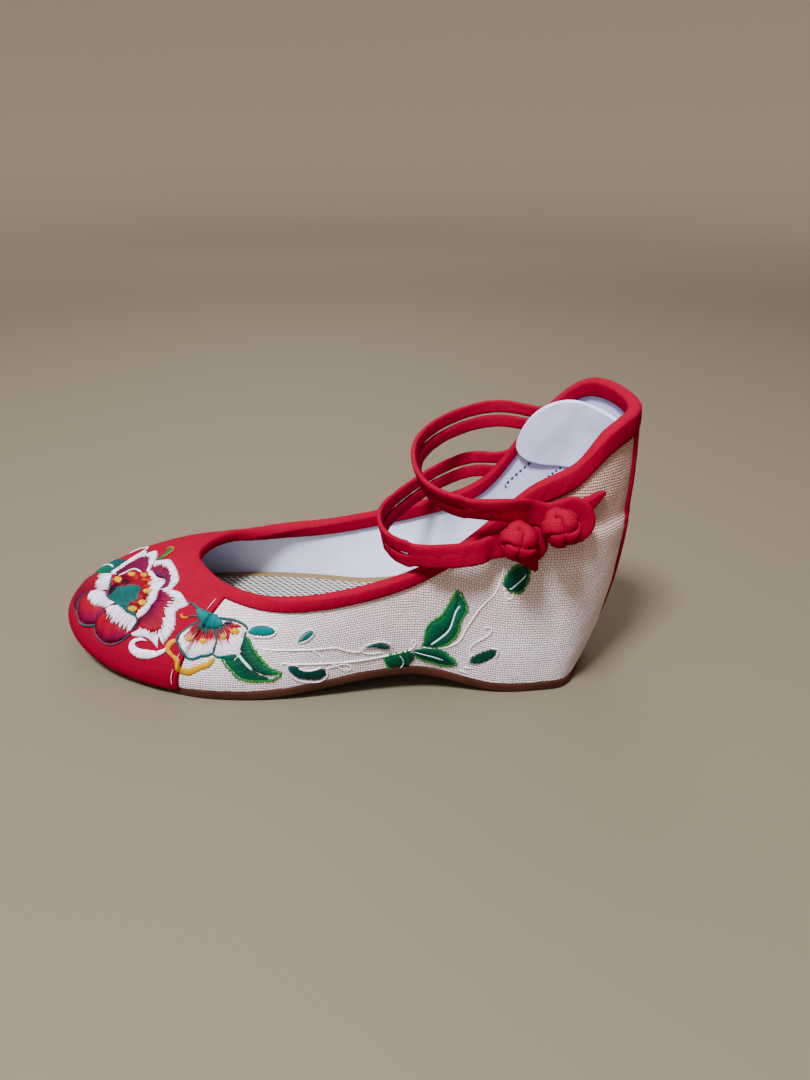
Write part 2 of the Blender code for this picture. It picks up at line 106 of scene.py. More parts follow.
def splineThrough(rows, places, closed):
    # even-knot cubic spline through the rows: Hermite pieces whose slopes keep the bend continuous
    rows = np.asarray(rows, float)
    count = len(rows)
    index = np.arange(count)
    system = np.zeros((count, count))
    system[index, index] = 4
    system[index, (index + 1) % count] += 1
    system[index, index - 1] += 1
    pull = 3 * (np.roll(rows, -1, axis=0) - np.roll(rows, 1, axis=0))
    if not closed:
        system[[0, -1]] = 0
        system[[0, -1], [0, -1]] = 2
        system[[0, -1], [1, -2]] = 1
        pull[0] = 3 * (rows[1] - rows[0])
        pull[-1] = 3 * (rows[-1] - rows[-2])
    slopes = np.linalg.solve(system, pull)
    places = np.asarray(places, float)
    before = np.floor(places).astype(int)
    if not closed:
        before = np.clip(before, 0, count - 2)
    f = (places - before)[..., None]
    a, b = before % count, (before + 1) % count
    value = ((1 + 2 * f) * (1 - f) ** 2 * rows[a] + f * (1 - f) ** 2 * slopes[a]
             + f * f * (3 - 2 * f) * rows[b] + f * f * (f - 1) * slopes[b])
    slope = (6 * f * (f - 1) * (rows[a] - rows[b]) + (1 - f) * (1 - 3 * f) * slopes[a]
             + f * (3 * f - 2) * slopes[b])
    return value, slope


def soleUnder(x):  # arch: a smooth rise and fall; toe spring: a square law past the ball
    start, crown, end = shoeForm["archX"]
    arch = shoeForm["archRise"] * easeStep(x, start, crown) * (1 - easeStep(x, crown, end))
    low, high = shoeForm["springX"]
    return arch + shoeForm["toeSpring"] * np.clip((x - low) / (high - low), 0, None) ** 2


def levelOut(slopes):  # the level direction to the right of a path's run
    flat = np.stack([slopes[..., 1], -slopes[..., 0], np.zeros(slopes.shape[:-1])], axis=-1)
    return unitRows(flat)


def fromToe(place):  # a place counted from the toe's rib, below zero on the inner side
    return (place + halfRibs) % ribCount - halfRibs


def ringPlaces(columnsPerRib):  # even places all round the shoe
    count = ribCount * columnsPerRib
    return np.arange(count) * ribCount / count


def ribHandles(place):
    value, slope = splineThrough(shoeForm["ribs"], place, True)
    lift = shoeForm["soleThick"] + shoeForm["gap"]
    sole = np.concatenate([value[..., :2], (soleUnder(value[..., 0]) + lift)[..., None]], axis=-1)
    top = value[..., 2:5]
    low = sole + value[..., 5:6] * levelOut(slope[..., 0:2]) + value[..., 6:7] * upward
    high = top + value[..., 7:8] * levelOut(slope[..., 2:4]) - value[..., 8:9] * upward
    return sole, low, high, top


def ribPoint(place, climb):  # cubic Bezier up each rib: climb 0 at the sole, 1 at the collar
    sole, low, high, top = ribHandles(np.asarray(place, float))
    c = np.asarray(climb, float)[..., None]
    return (1 - c) ** 3 * sole + 3 * c * (1 - c) ** 2 * low + 3 * c * c * (1 - c) * high + c ** 3 * top


def ribNormal(place, climb):  # along the ring crossed with up the rib
    step = 1e-3
    along = ribPoint(place + step, climb) - ribPoint(place - step, climb)
    rise = ribPoint(place, climb + step) - ribPoint(place, climb - step)
    return unitRows(np.cross(along, rise))


def lookUp(table, wanted):
    # fractional step at which each row of a rising table reaches the wanted values, running on past both ends
    below = np.clip((table[:, None, :] <= wanted[:, :, None]).sum(-1) - 1, 0, table.shape[1] - 2)
    low = np.take_along_axis(table, below, 1)
    high = np.take_along_axis(table, below + 1, 1)
    return below + (wanted - low) / (high - low)


def ribLines(places):  # each rib as a line of points down from the collar, with its running length
    climbs = np.linspace(1, 0, shoeForm["ribSteps"])
    line = ribPoint(places[:, None], climbs[None, :])
    return line, runRows(line)


def climbAtDrop(places, drops):  # drops: length down from the collar, one row of them for each place
    return 1 - lookUp(ribLines(places)[1], drops) / (shoeForm["ribSteps"] - 1)


def climbAtHeight(places, levels):
    heights = ribLines(places)[0][:, ::-1, 2]
    rising = np.maximum.accumulate(heights + 1e-6 * np.arange(heights.shape[1]), axis=1)
    return lookUp(rising, levels) / (shoeForm["ribSteps"] - 1)


def wallPoints(places, drops, out):  # grid of wall points, moved off the outer face by out
    climb = climbAtDrop(places, drops)
    column = places[:, None] + 0 * climb
    normal = ribNormal(column, climb)
    return ribPoint(column, climb) + np.asarray(out)[..., None] * normal, normal


def wallSpots(place, drop, out=0.0):  # the same for a plain list of spots
    point, normal = wallPoints(np.asarray(place, float), np.asarray(drop, float)[:, None], out)
    return point[:, 0], normal[:, 0]


def wallRun(start, end, count, out):  # a straight run of spots: their shares, points and normals
    share = np.linspace(0, 1, count)
    place, drop = (a + (b - a) * share for a, b in zip(start, end))
    return share, *wallSpots(place, drop, out)


def wallLength(places):
    return ribLines(places)[1][:, -1]


def sweepFaces(n, m, closedPath):
    # quads between neighbouring closed profiles, and a ladder across each end of an open path:
    # path and profile number of each corner, and the corner's point number
    i, j = np.meshgrid(np.arange(n if closedPath else n - 1), np.arange(m), indexing="ij")
    ci = np.stack([i, i, i + 1, i + 1], -1).reshape(-1, 4)
    cj = np.stack([j, j + 1, j + 1, j], -1).reshape(-1, 4)
    if not closedPath:
        r = np.arange(m // 2 - 1)
        rung = np.stack([r, r + 1, m - 2 - r, m - 1 - r], -1)
        ci = np.concatenate([ci, 0 * rung, 0 * rung + n - 1])
        cj = np.concatenate([cj, rung[:, ::-1], rung])
    return ci, cj, (ci % n) * m + cj % m


def sweepUv(sections, closedPath):
    # u: running length along the path, v: running length round the profile, both in millimetres
    ring = np.concatenate([sections, sections[:, :1]], axis=1)
    v = runRows(ring).mean(axis=0)
    path = np.concatenate([sections, sections[:1]], axis=0) if closedPath else sections
    u = np.linalg.norm(np.diff(path, axis=0), axis=-1).mean(axis=1)
    u = np.concatenate([[0], np.cumsum(u)])
    if not closedPath:
        u = np.concatenate([u, u[-1:]])
    return np.stack(np.meshgrid(u, v, indexing="ij"), axis=-1)


def signedVolume(corner):  # six times the volume inside quads, each one as two triangles seen from the origin
    first = np.einsum("ij,ij->", corner[:, 0], np.cross(corner[:, 1], corner[:, 2]))
    return first + np.einsum("ij,ij->", corner[:, 0], np.cross(corner[:, 2], corner[:, 3]))


def newObject(name, data):
    thing = bpy.data.objects.new(name, data)
    bpy.context.scene.collection.objects.link(thing)
    return thing


def addMesh(name, points, faces, cornerUv, material, replaces=(), colours=None, sharpAngle=60,
            edgeUv=None):
    # faces: (k, 4) corners, a triangle repeats its last one; turned outwards by the sign of the closed volume
    if signedVolume(points[faces]) < 0:
        faces = faces[:, ::-1]
        cornerUv = cornerUv[:, ::-1]
        edgeUv = None if edgeUv is None else edgeUv[:, ::-1]
    keep = np.ones(faces.shape, bool)
    keep[:, 1:] = faces[:, 1:] != faces[:, :-1]
    keep[:, 3] &= faces[:, 3] != faces[:, 0]
    sizes = keep.sum(axis=1)
    mesh = bpy.data.meshes.new(name)
    mesh.vertices.add(len(points))
    place = (points - shoeForm["middle"]) * shoeForm["metresPerMm"]
    mesh.vertices.foreach_set("co", place.astype(np.float32).ravel())
    mesh.loops.add(int(sizes.sum()))
    mesh.loops.foreach_set("vertex_index", faces[keep].astype(np.int32))
    mesh.polygons.add(len(faces))
    starts = np.concatenate([[0], np.cumsum(sizes)[:-1]])
    mesh.polygons.foreach_set("loop_start", starts.astype(np.int32))
    mesh.update(calc_edges=True)
    mesh.polygons.foreach_set("use_smooth", np.ones(len(faces), bool))
    for label, values in (("clothMm", cornerUv), ("edgeMm", edgeUv)):
        if values is not None:
            layer = mesh.uv_layers.new(name=label)
            layer.data.foreach_set("uv", values[keep].astype(np.float32).ravel())
    if colours is not None:
        paint = mesh.color_attributes.new("threadColour", "FLOAT_COLOR", "POINT")
        rgba = np.concatenate([colours, np.ones((len(colours), 1))], axis=1)
        paint.data.foreach_set("color", rgba.astype(np.float32).ravel())
    mesh.set_sharp_from_angle(angle=math.radians(sharpAngle))
    mesh.materials.append(material)
    piece = newObject(name, mesh)
    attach(piece, "root")
    if replaces:
        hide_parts(*replaces)
    print(name, int((sizes - 2).sum()), "triangles")
    return piece


def addSweep(name, sections, closedPath, material, replaces=(), uv=None, sharpAngle=60):
    ci, cj, faces = sweepFaces(*sections.shape[:2], closedPath)
    uv = sweepUv(sections, closedPath) if uv is None else uv
    points = sections.reshape(-1, 3)
    return addMesh(name, points, faces, uv[ci, cj], material, replaces, None, sharpAngle)


def sweptPart(sections, closed):  # points, faces and corner UVs of one sweep, its faces pointing out
    ci, cj, faces = sweepFaces(*sections.shape[:2], closed)
    if signedVolume(sections.reshape(-1, 3)[faces]) < 0:
        sections = sections[:, ::-1]
    return sections.reshape(-1, 3), faces, sweepUv(sections, closed)[ci, cj]


def joinParts(parts):  # several meshes as one: points, faces with their numbers moved on, and the rest
    points, faces, *others = zip(*parts)
    starts = np.cumsum([0] + [len(part) for part in points])
    faces = [part + start for part, start in zip(faces, starts)]
    return [np.concatenate(rows) for rows in (points, faces, *others)]


def rippleNoise(u, v, seed, count, low, high):
    # a sum of plane waves with seeded directions and phases, about -1 to 1; low and high: waves in a mm
    rng = np.random.default_rng(seed)
    size = low * (high / low) ** rng.random(count)
    turn = rng.random(count) * 2 * np.pi
    phase = rng.random(count) * 2 * np.pi
    total = np.zeros(np.broadcast(u, v).shape)
    for s, t, p in zip(size, turn, phase):
        total = total + np.sin(2 * np.pi * s * (np.cos(t) * u + np.sin(t) * v) + p)
    return total / math.sqrt(count)


def feed(tree, value, socket):
    if isinstance(value, bpy.types.NodeSocket):
        tree.links.new(value, socket)
    else:
        socket.default_value = (*value, 1) if socket.type == "RGBA" else value


def newNode(tree, kind, values, **settings):  # values by the number or the name of their socket
    node = tree.nodes.new("ShaderNode" + kind)
    for label, setting in settings.items():
        setattr(node, label, setting)
    for socket, value in values.items():
        feed(tree, value, node.inputs[socket])
    return node


def mathOf(tree, operation, a, b=0.0):
    return newNode(tree, "Math", {0: a, 1: b}, operation=operation).outputs[0]


def mixValue(tree, factor, a, b):
    return newNode(tree, "Mix", {0: factor, 2: a, 3: b}).outputs[0]


def mixColour(tree, factor, a, b, blend="MIX"):
    return newNode(tree, "Mix", {0: factor, 6: a, 7: b}, data_type="RGBA", blend_type=blend).outputs[2]


def spread(tree, value, low, high, outLow=0.0, outHigh=1.0, kind="LINEAR"):  # a clamped map
    values = {0: value, 1: low, 2: high, 3: outLow, 4: outHigh}
    return newNode(tree, "MapRange", values, interpolation_type=kind).outputs[0]


def vectorOf(tree, operation, a, b=(0.0, 0.0, 0.0), scale=1.0):
    values = {0: a, "Scale": scale} if operation == "SCALE" else {0: a, 1: b}
    node = newNode(tree, "VectorMath", values, operation=operation)
    return node.outputs["Value" if operation == "LENGTH" else "Vector"]


def splitOf(tree, vector):
    return newNode(tree, "SeparateXYZ", {0: vector}).outputs


def objectPlace(tree):
    return newNode(tree, "TexCoord", {}).outputs["Object"]


def uvPlace(tree, label):
    return newNode(tree, "UVMap", {}, uv_map=label).outputs[0]


def noiseOf(tree, vector, scale, detail=3.0, roughness=0.55):
    values = {"Vector": vector, "Scale": scale, "Detail": detail, "Roughness": roughness}
    return newNode(tree, "TexNoise", values).outputs


def newGroup(name, inputs, outputs):  # a place and numbers in, numbers out
    group = bpy.data.node_groups.new(name, "ShaderNodeTree")
    group.interface.new_socket(name="Place", in_out="INPUT", socket_type="NodeSocketVector")
    for label, start in inputs.items():
        socket = group.interface.new_socket(name=label, in_out="INPUT", socket_type="NodeSocketFloat")
        socket.default_value = start
    for label in outputs:
        group.interface.new_socket(name=label, in_out="OUTPUT", socket_type="NodeSocketFloat")
    return group, group.nodes.new("NodeGroupInput").outputs, group.nodes.new("NodeGroupOutput").inputs


def placeGroup(tree, group, **values):
    return newNode(tree, "Group", values, node_tree=group).outputs


plainWeave = {"driftSize": 0.21, "driftReach": 8, "warpRound": 0.42, "warpDip": 0.55, "weftRound": 0.55,
              "weftDip": 0.5, "warpSeed": 0.37, "weftSeed": 41.7, "slubSize": 0.55}


def makeWeaveGroup():
    # plain weave: each cell lifts the warp or the weft in turn, as a rounded yarn that dips at its ends
    group, given, result = newGroup(
        "plainWeave", {"Pitch": 1.0, "Wander": 0.1}, ("Height", "Tone", "Slub", "Weft"))
    look = plainWeave

    def yarnHeight(across, along, roundness, dip):
        crown = mathOf(group, "POWER", across, roundness)
        return mathOf(group, "MULTIPLY", crown, mixValue(group, along, dip, 1.0))

    def crownOf(number):
        return mathOf(group, "SINE", mathOf(group, "MULTIPLY", mathOf(group, "FRACT", number), math.pi))

    cell = vectorOf(group, "SCALE", given["Place"], scale=mathOf(group, "DIVIDE", 1.0, given["Pitch"]))
    drift = noiseOf(group, cell, look["driftSize"], 2.0)["Color"]
    drift = vectorOf(group, "SUBTRACT", drift, (0.5, 0.5, 0.5))
    reach = mathOf(group, "MULTIPLY", given["Wander"], look["driftReach"])
    cell = vectorOf(group, "ADD", cell, vectorOf(group, "SCALE", drift, scale=reach))
    x, y = splitOf(group, cell)[:2]
    column, row = mathOf(group, "FLOOR", x), mathOf(group, "FLOOR", y)
    crownX, crownY = crownOf(x), crownOf(y)
    turn = mathOf(group, "FLOORED_MODULO", mathOf(group, "ADD", column, row), 2.0)
    warp = yarnHeight(crownX, crownY, look["warpRound"], look["warpDip"])
    weft = yarnHeight(crownY, crownX, look["weftRound"], look["weftDip"])
    feed(group, mixValue(group, turn, warp, weft), result["Height"])
    feed(group, turn, result["Weft"])
    tones = []
    for number, shift in ((column, look["warpSeed"]), (row, look["weftSeed"])):
        values = {"W": mathOf(group, "ADD", number, shift)}
        tones.append(newNode(group, "TexWhiteNoise", values, noise_dimensions="1D").outputs["Value"])
    feed(group, mixValue(group, turn, *tones), result["Tone"])
    feed(group, noiseOf(group, cell, look["slubSize"], 3.0)["Fac"], result["Slub"])
    return group


def makeMottleGroup():
    # slow and quick noise side by side, for dye that took unevenly and handled cloth
    group, given, result = newGroup("mottle", {"Patch": 0.05, "Grain": 1.2}, ("Patches", "Grains"))
    feed(group, noiseOf(group, given["Place"], given["Patch"], 2.0)["Fac"], result["Patches"])
    feed(group, noiseOf(group, given["Place"], given["Grain"], 4.0, 0.7)["Fac"], result["Grains"])
    return group


weaveGroup = makeWeaveGroup()
mottleGroup = makeMottleGroup()


def startMaterial(name, roughness, specular, sheen=0.0):
    material = bpy.data.materials.new(name)
    material.use_nodes = True
    tree = material.node_tree
    shader = tree.nodes["Principled BSDF"]
    for label, value in (("Roughness", roughness), ("Specular IOR Level", specular), ("Sheen Weight", sheen)):
        shader.inputs[label].default_value = value
    return material, tree, shader


def addBump(tree, shader, height, strength, distance):
    bump = newNode(tree, "Bump", {"Strength": strength, "Distance": distance, "Height": height})
    feed(tree, bump.outputs[0], shader.inputs["Normal"])


# cell: yarn pitch along and up in mm; then a list of painted shades: colours that the cloth is multiplied by,
# each one from one height in metres to another
clothFinishes = {
    "linenCloth": {
        "cell": (0.98, 1.15), "warp": 0.78, "wander": 0.15, "yarn": (0.92, 0.74, 0.82),
        "light": (1, 0.9, 0.99), "pit": (0.26, 0.17, 0.165), "patch": (0.76, 0.6, 0.58),
        "patchShare": 0.25, "pitEdge": (0.15, 0.74), "roughness": 0.92, "specular": 0.1,
        "strength": 0.9, "distance": 0.0004,
        # painted shade: from 22 to 50 mm up the linen turns warmer and a little darker, and from 61 to 76 mm
        # up, under the binding round the heel, brown and much darker
        "paintedShades": (((0.95, 0.87, 0.8), 0.022, 0.050), ((0.74, 0.62, 0.51), 0.061, 0.076)),
    },
    "redCotton": {
        "cell": (0.52, 0.52), "warp": 0.92, "wander": 0.08, "yarn": (0.215, 0, 0.015),
        "light": (0.25, 0, 0.02), "pit": (0.13, 0, 0.007), "patch": (0.18, 0, 0.011),
        "patchShare": 0.3, "pitEdge": (0.1, 0.6), "roughness": 0.9, "specular": 0.03,
        "strength": 0.45, "distance": 0.0001,
    },
    "whiteLining": {
        "cell": (0.42, 0.42), "warp": 0.97, "wander": 0.06, "yarn": (0.62, 0.63, 0.88),
        "light": (0.67, 0.68, 0.93), "pit": (0.48, 0.48, 0.66), "patch": (0.52, 0.48, 0.64),
        "patchShare": 0.25, "pitEdge": (0.05, 0.5), "roughness": 0.88, "specular": 0.12,
        # painted shade: from 40 to 60 mm up the lining turns darker and greyer
        "strength": 0.3, "distance": 0.00008, "paintedShades": (((0.82, 0.77, 0.85), 0.040, 0.060),),
    },
    "padSuede": {
        "cell": (0.3, 0.3), "warp": 1, "wander": 0.5, "yarn": (0.535, 0.53, 0.757),
        "light": (0.57, 0.565, 0.795), "pit": (0.47, 0.46, 0.67), "patch": (0.46, 0.44, 0.64),
        "patchShare": 0.3, "pitEdge": (0, 0.4), "roughness": 0.92, "specular": 0.1, "sheen": 0.05,
        "strength": 0.2, "distance": 0.00006,
    },
}
everyCloth = {"patchEdge": (0.45, 0.75), "grainEdge": (0.3, 0.7), "grainDark": 0.9, "grainLight": 1.06,
              "slubShare": 0.5, "sheen": 0, "paintedShades": ()}


def makeCloth(name):
    # yarns of two tones over dark pits, with faded patches, fine grain, painted shade by height, and the
    # weave's own relief
    look = {**everyCloth, **clothFinishes[name]}
    material, tree, shader = startMaterial(name, look["roughness"], look["specular"], look["sheen"])
    place = uvPlace(tree, "clothMm")
    cell = vectorOf(tree, "MULTIPLY", place, (1 / look["cell"][0], 1 / look["cell"][1], 1.0))
    weave = placeGroup(tree, weaveGroup, Place=cell, Wander=look["wander"])
    mottle = placeGroup(tree, mottleGroup, Place=place)
    yarn = mixColour(tree, weave["Tone"], look["yarn"], look["light"])
    sunk = mixColour(tree, 1.0, yarn, (look["warp"],) * 3, "MULTIPLY")
    yarn = mixColour(tree, weave["Weft"], sunk, yarn)
    faded = spread(tree, mottle["Patches"], *look["patchEdge"], 0.0, look["patchShare"])
    yarn = mixColour(tree, faded, yarn, look["patch"])
    raised = spread(tree, weave["Height"], *look["pitEdge"])
    colour = mixColour(tree, raised, look["pit"], yarn)
    shade = spread(tree, mottle["Grains"], *look["grainEdge"], look["grainDark"], look["grainLight"])
    colour = mixColour(tree, 1.0, colour, shade, "MULTIPLY")
    # painted shade: the cloth multiplied by each shade colour, coming in with height
    for tint, low, high in look["paintedShades"]:
        level = splitOf(tree, objectPlace(tree))[2]
        shadedColour = mixColour(tree, 1.0, colour, tint, "MULTIPLY")
        colour = mixColour(tree, spread(tree, level, low, high), colour, shadedColour)
    feed(tree, colour, shader.inputs["Base Color"])
    slub = mathOf(tree, "MULTIPLY", weave["Slub"], look["slubShare"])
    addBump(tree, shader, mathOf(tree, "ADD", weave["Height"], slub), look["strength"], look["distance"])
    return material


footbedLook = {
    "ground": (0.56, 0.52, 0.48), "groundLow": (0.46, 0.43, 0.39), "tan": (0.17, 0.11, 0.05),
    "tanLow": (0.25, 0.17, 0.09), "dash": (0.008, 0.009, 0.009), "dashShare": 0.97, "dashDeep": 1.2,
    "across": 3.1, "along": 1.5, "slant": 0.9, "dashLong": 0.72, "dashWide": 0.74, "softLong": 0.06,
    "softWide": 0.1, "border": (5.2, 5.6), "pitch": 0.75, "low": (0.1, 0.7),
    "roughness": 0.85, "specular": 0.08, "strength": 0.5, "distance": 0.00025,
}


def makeFootbedCloth(look):
    # rows of slanted dark dashes on cream, each row half a step on, inside a plain tan border;
    # the v of edgeMm counts in from the edge
    material, tree, shader = startMaterial("footbedCloth", look["roughness"], look["specular"])
    place = uvPlace(tree, "clothMm")

    def within(number, size, soft):  # 1 inside half the size on each side of 0, with a soft edge
        return spread(tree, mathOf(tree, "ABSOLUTE", number), size / 2 - soft, size / 2 + soft, 1, 0)

    x, y = splitOf(tree, place)[:2]
    row = mathOf(tree, "DIVIDE", y, look["along"])
    rowPart = mathOf(tree, "SUBTRACT", mathOf(tree, "FRACT", row), 0.5)
    run = mathOf(tree, "DIVIDE", x, look["across"])
    run = mathOf(tree, "ADD", run, mathOf(tree, "MULTIPLY", mathOf(tree, "FLOOR", row), 0.5))
    slant = look["slant"] * look["along"] / look["across"]
    run = mathOf(tree, "ADD", run, mathOf(tree, "MULTIPLY", rowPart, slant))
    runPart = mathOf(tree, "SUBTRACT", mathOf(tree, "FRACT", run), 0.5)
    dash = mathOf(tree, "MULTIPLY", within(runPart, look["dashLong"], look["softLong"]),
                  within(rowPart, look["dashWide"], look["softWide"]))
    weave = placeGroup(tree, weaveGroup, Place=place, Pitch=look["pitch"], Wander=0.1)
    inside = spread(tree, splitOf(tree, uvPlace(tree, "edgeMm"))[1], *look["border"])
    raised = spread(tree, weave["Height"], *look["low"])
    ground = mixColour(tree, raised, look["groundLow"], look["ground"])
    border = mixColour(tree, raised, look["tanLow"], look["tan"])
    colour = mixColour(tree, mathOf(tree, "MULTIPLY", dash, look["dashShare"]), ground, look["dash"])
    feed(tree, mixColour(tree, inside, border, colour), shader.inputs["Base Color"])
    height = mathOf(tree, "SUBTRACT", weave["Height"], mathOf(tree, "MULTIPLY", dash, look["dashDeep"]))
    addBump(tree, shader, height, look["strength"], look["distance"])
    return material


rubberLook = {"dark": (0.034, 0.009, 0.005), "light": (0.055, 0.016, 0.009),
              "dust": (0.12, 0.06, 0.04), "dustShare": 0.25, "patch": 60, "grain": 1400,
              "smooth": 0.45, "rough": 0.7, "specular": 0.12, "patchEdge": (0.35, 0.7),
              "dustEdge": (0.6, 0.8), "grainEdge": (0.3, 0.8), "strength": 0.35, "distance": 0.0001}


def makeBrownRubber(look):
    # dark brown moulded rubber, mottled, with a little grey dust where grains catch it
    material, tree, shader = startMaterial("brownRubber", look["rough"], look["specular"])
    mottle = placeGroup(tree, mottleGroup, Place=objectPlace(tree), Patch=look["patch"], Grain=look["grain"])
    colour = mixColour(tree, spread(tree, mottle["Patches"], *look["patchEdge"]), look["dark"], look["light"])
    dust = spread(tree, mottle["Grains"], *look["dustEdge"], 0.0, look["dustShare"])
    feed(tree, mixColour(tree, dust, colour, look["dust"]), shader.inputs["Base Color"])
    roughness = spread(tree, mottle["Grains"], *look["grainEdge"], look["smooth"], look["rough"])
    feed(tree, roughness, shader.inputs["Roughness"])
    addBump(tree, shader, mottle["Grains"], look["strength"], look["distance"])
    return material


silkLook = {"roughness": 0.5, "specular": 0.1, "twistLong": 7, "twistRound": 9, "dark": 0.86,
            "light": 1.04, "strength": 0.4, "distance": 0.00005}


def makeSilk(look):
    # embroidery floss: its colour rides on each thread, with fine plies twisted along it
    material, tree, shader = startMaterial("silkThread", look["roughness"], look["specular"])
    paint = newNode(tree, "VertexColor", {}, layer_name="threadColour")
    x, y = splitOf(tree, uvPlace(tree, "clothMm"))[:2]
    twist = mathOf(tree, "ADD", mathOf(tree, "MULTIPLY", x, look["twistLong"]),
                   mathOf(tree, "MULTIPLY", y, look["twistRound"]))
    ply = spread(tree, mathOf(tree, "SINE", twist), -1.0, 1.0)
    shade = spread(tree, ply, 0.0, 1.0, look["dark"], look["light"])
    feed(tree, mixColour(tree, 1.0, paint.outputs["Color"], shade, "MULTIPLY"), shader.inputs["Base Color"])
    addBump(tree, shader, ply, look["strength"], look["distance"])
    return material


linenCloth, redCotton, whiteLining, padSuede = (makeCloth(name) for name in clothFinishes)
footbedCloth = makeFootbedCloth(footbedLook)
brownRubber = makeBrownRubber(rubberLook)
silkThread = makeSilk(silkLook)
print("materials made")

# camera from the photograph: focal length in pixels of an 810 x 1080 frame, place in table millimetres
photoCamera = {"yaw": 3.64, "pitch": 25.69, "place": np.array([69.6, 301.6, 199.7]), "focal": 812,
               "centre": (405, 540), "frameHeight": 1080, "sensor": 36, "clipStart": 0.01}


def turnTo(piece, right, top, back, place):  # an object's three axes, and its place in metres
    matrix = np.eye(4)
    matrix[:3, :3] = np.stack([right, top, back], axis=1)
    matrix[:3, 3] = place
    piece.matrix_world = Matrix(matrix.tolist())


def cameraAxes():
    a, e = np.radians(photoCamera["yaw"]), np.radians(photoCamera["pitch"])
    forward = np.array([np.sin(a) * np.cos(e), -np.cos(a) * np.cos(e), -np.sin(e)])
    right = unitRows(np.cross(forward, upward))
    return forward, right, np.cross(right, forward)


def addCamera():
    forward, right, top = cameraAxes()
    data = bpy.data.cameras.new("photoCamera")
    data.sensor_width = photoCamera["sensor"]
    data.lens = photoCamera["focal"] / photoCamera["frameHeight"] * photoCamera["sensor"]
    data.clip_start = photoCamera["clipStart"]
    camera = newObject("photoCamera", data)
    place = (photoCamera["place"] - shoeForm["middle"]) * shoeForm["metresPerMm"]
    turnTo(camera, right, top, -forward, place)
    bpy.context.scene.camera = camera


addCamera()
print("camera set")


def toPhoto(points):  # table millimetres to photograph pixels
    forward, right, top = cameraAxes()
    away = points - photoCamera["place"]
    depth = away @ forward
    x = photoCamera["centre"][0] + photoCamera["focal"] * (away @ right) / depth
    y = photoCamera["centre"][1] - photoCamera["focal"] * (away @ top) / depth
    return np.stack([x, y], axis=-1)


toeCap = {"middle": 0, "half": 3, "thick": 0.9, "out": 0.3, "columns": 150, "rows": 60, "footGap": 0.4,
          "edge": 0.8, "edgeFade": (-0.03, 0.05), "tuck": 1.9, "turnUnder": 1.4, "lean": 0, "seed": 21}


def capLift(place):  # how far the red cap stands off the linen, falling away at its edge
    inside = toeCap["half"] - np.abs(fromToe(place))
    return (toeCap["out"] + toeCap["thick"]) * easeStep(inside, *toeCap["edgeFade"])


def skinPoint(place, climb, out=0.0):  # the outside as it is seen: linen, or the cap over it
    return ribPoint(place, climb) + (capLift(place) + out)[..., None] * ribNormal(place, climb)


wallSearch = {"placeStep": 0.1, "climbs": (0.02, 0.98, 49), "atOnce": 800, "rounds": 12, "step": 1e-3,
              "leastArea": 50, "placeReach": 0.1, "climbReach": 0.04}


def areaOf(a, b):  # cross product of rows of two numbers
    return a[:, 0] * b[:, 1] - a[:, 1] * b[:, 0]


def pickOnWall(pixels):
    # place and climb under photograph pixels: nearest of a coarse grid facing the camera, then Newton steps
    look = wallSearch
    pixels = np.asarray(pixels, float)
    grid = np.meshgrid(np.arange(0, ribCount, look["placeStep"]), np.linspace(*look["climbs"]), indexing="ij")
    place, climb = (part.ravel() for part in grid)
    points = skinPoint(place, climb)
    facing = np.einsum("ij,ij->i", photoCamera["place"] - points, ribNormal(place, climb)) > 0
    seen = toPhoto(points[facing])
    batches = np.array_split(pixels, 1 + len(pixels) // look["atOnce"])
    nearest = [((batch[:, None] - seen[None]) ** 2).sum(-1).argmin(axis=1) for batch in batches]
    nearest = np.concatenate(nearest)
    place, climb = place[facing][nearest], climb[facing][nearest]
    step, least = look["step"], look["leastArea"]
    for _ in range(look["rounds"]):
        now = toPhoto(skinPoint(place, climb))
        byPlace = (toPhoto(skinPoint(place + step, climb)) - now) / step
        byClimb = (toPhoto(skinPoint(place, climb + step)) - now) / step
        miss = pixels - now
        area = areaOf(byPlace, byClimb)
        area = np.where(np.abs(area) < least, np.sign(area) * least + (area == 0) * least, area)
        place = place + np.clip(areaOf(miss, byClimb) / area, -look["placeReach"], look["placeReach"])
        climb = climb + np.clip(areaOf(byPlace, miss) / area, -look["climbReach"], look["climbReach"])
        climb = np.clip(climb, 0.0, 1.0)
    return fromToe(place), climb


def ringRun(places):  # running length along the ring, about a third of the way up the wall
    return runAlong(ribPoint(places, np.full(len(places), shoeForm["ringClimb"])))


def wallUv(places, drops, closed):
    # u along the shoe, v up from the sole, so the weave lies level on the quarters
    rows = np.concatenate([drops, drops[:, ::-1], drops[:, :1]], axis=1)
    v = wallLength(places)[:, None] - rows
    ends = np.append(places, ribCount if closed else places[-1])
    v = np.concatenate([v, v[:1] if closed else v[-1:]], axis=0)
    return np.stack([ringRun(ends)[:, None] + 0 * v, v], axis=-1)


def wallSections(places, drops, outer, inner):  # closed profile: down the outer face, back up the inner
    front = wallPoints(places, drops, outer)[0]
    back = wallPoints(places, drops[:, ::-1], inner[:, ::-1])[0]
    return np.concatenate([front, back], axis=1)


# soft folds in the linen: from and to in photograph pixels, reach above and below in mm, depth in mm (below
# zero for a ridge), share of the depth that is left at the ends
linenFolds = {
    "heelCrease": ((588, 530), (621, 517), 9, 1.7, 1.5, 0.5),
    "heelRidge": ((590, 538), (621, 526), 2.6, 9, -0.5, 0.5),
    "knotFold": ((528, 556), (560, 612), 5.5, 5.5, 0.35, 0.35),
    "backFold": ((597, 560), (606, 606), 5, 5, 0.3, 0.35),
    "vineFold": ((300, 660), (395, 640), 7, 7, 0.25, 0.35),
    "lowFold": ((470, 620), (560, 650), 8, 8, 0.3, 0.35),
}
foldEnd = 0.06  # share of a fold's run at which it stops growing shallower


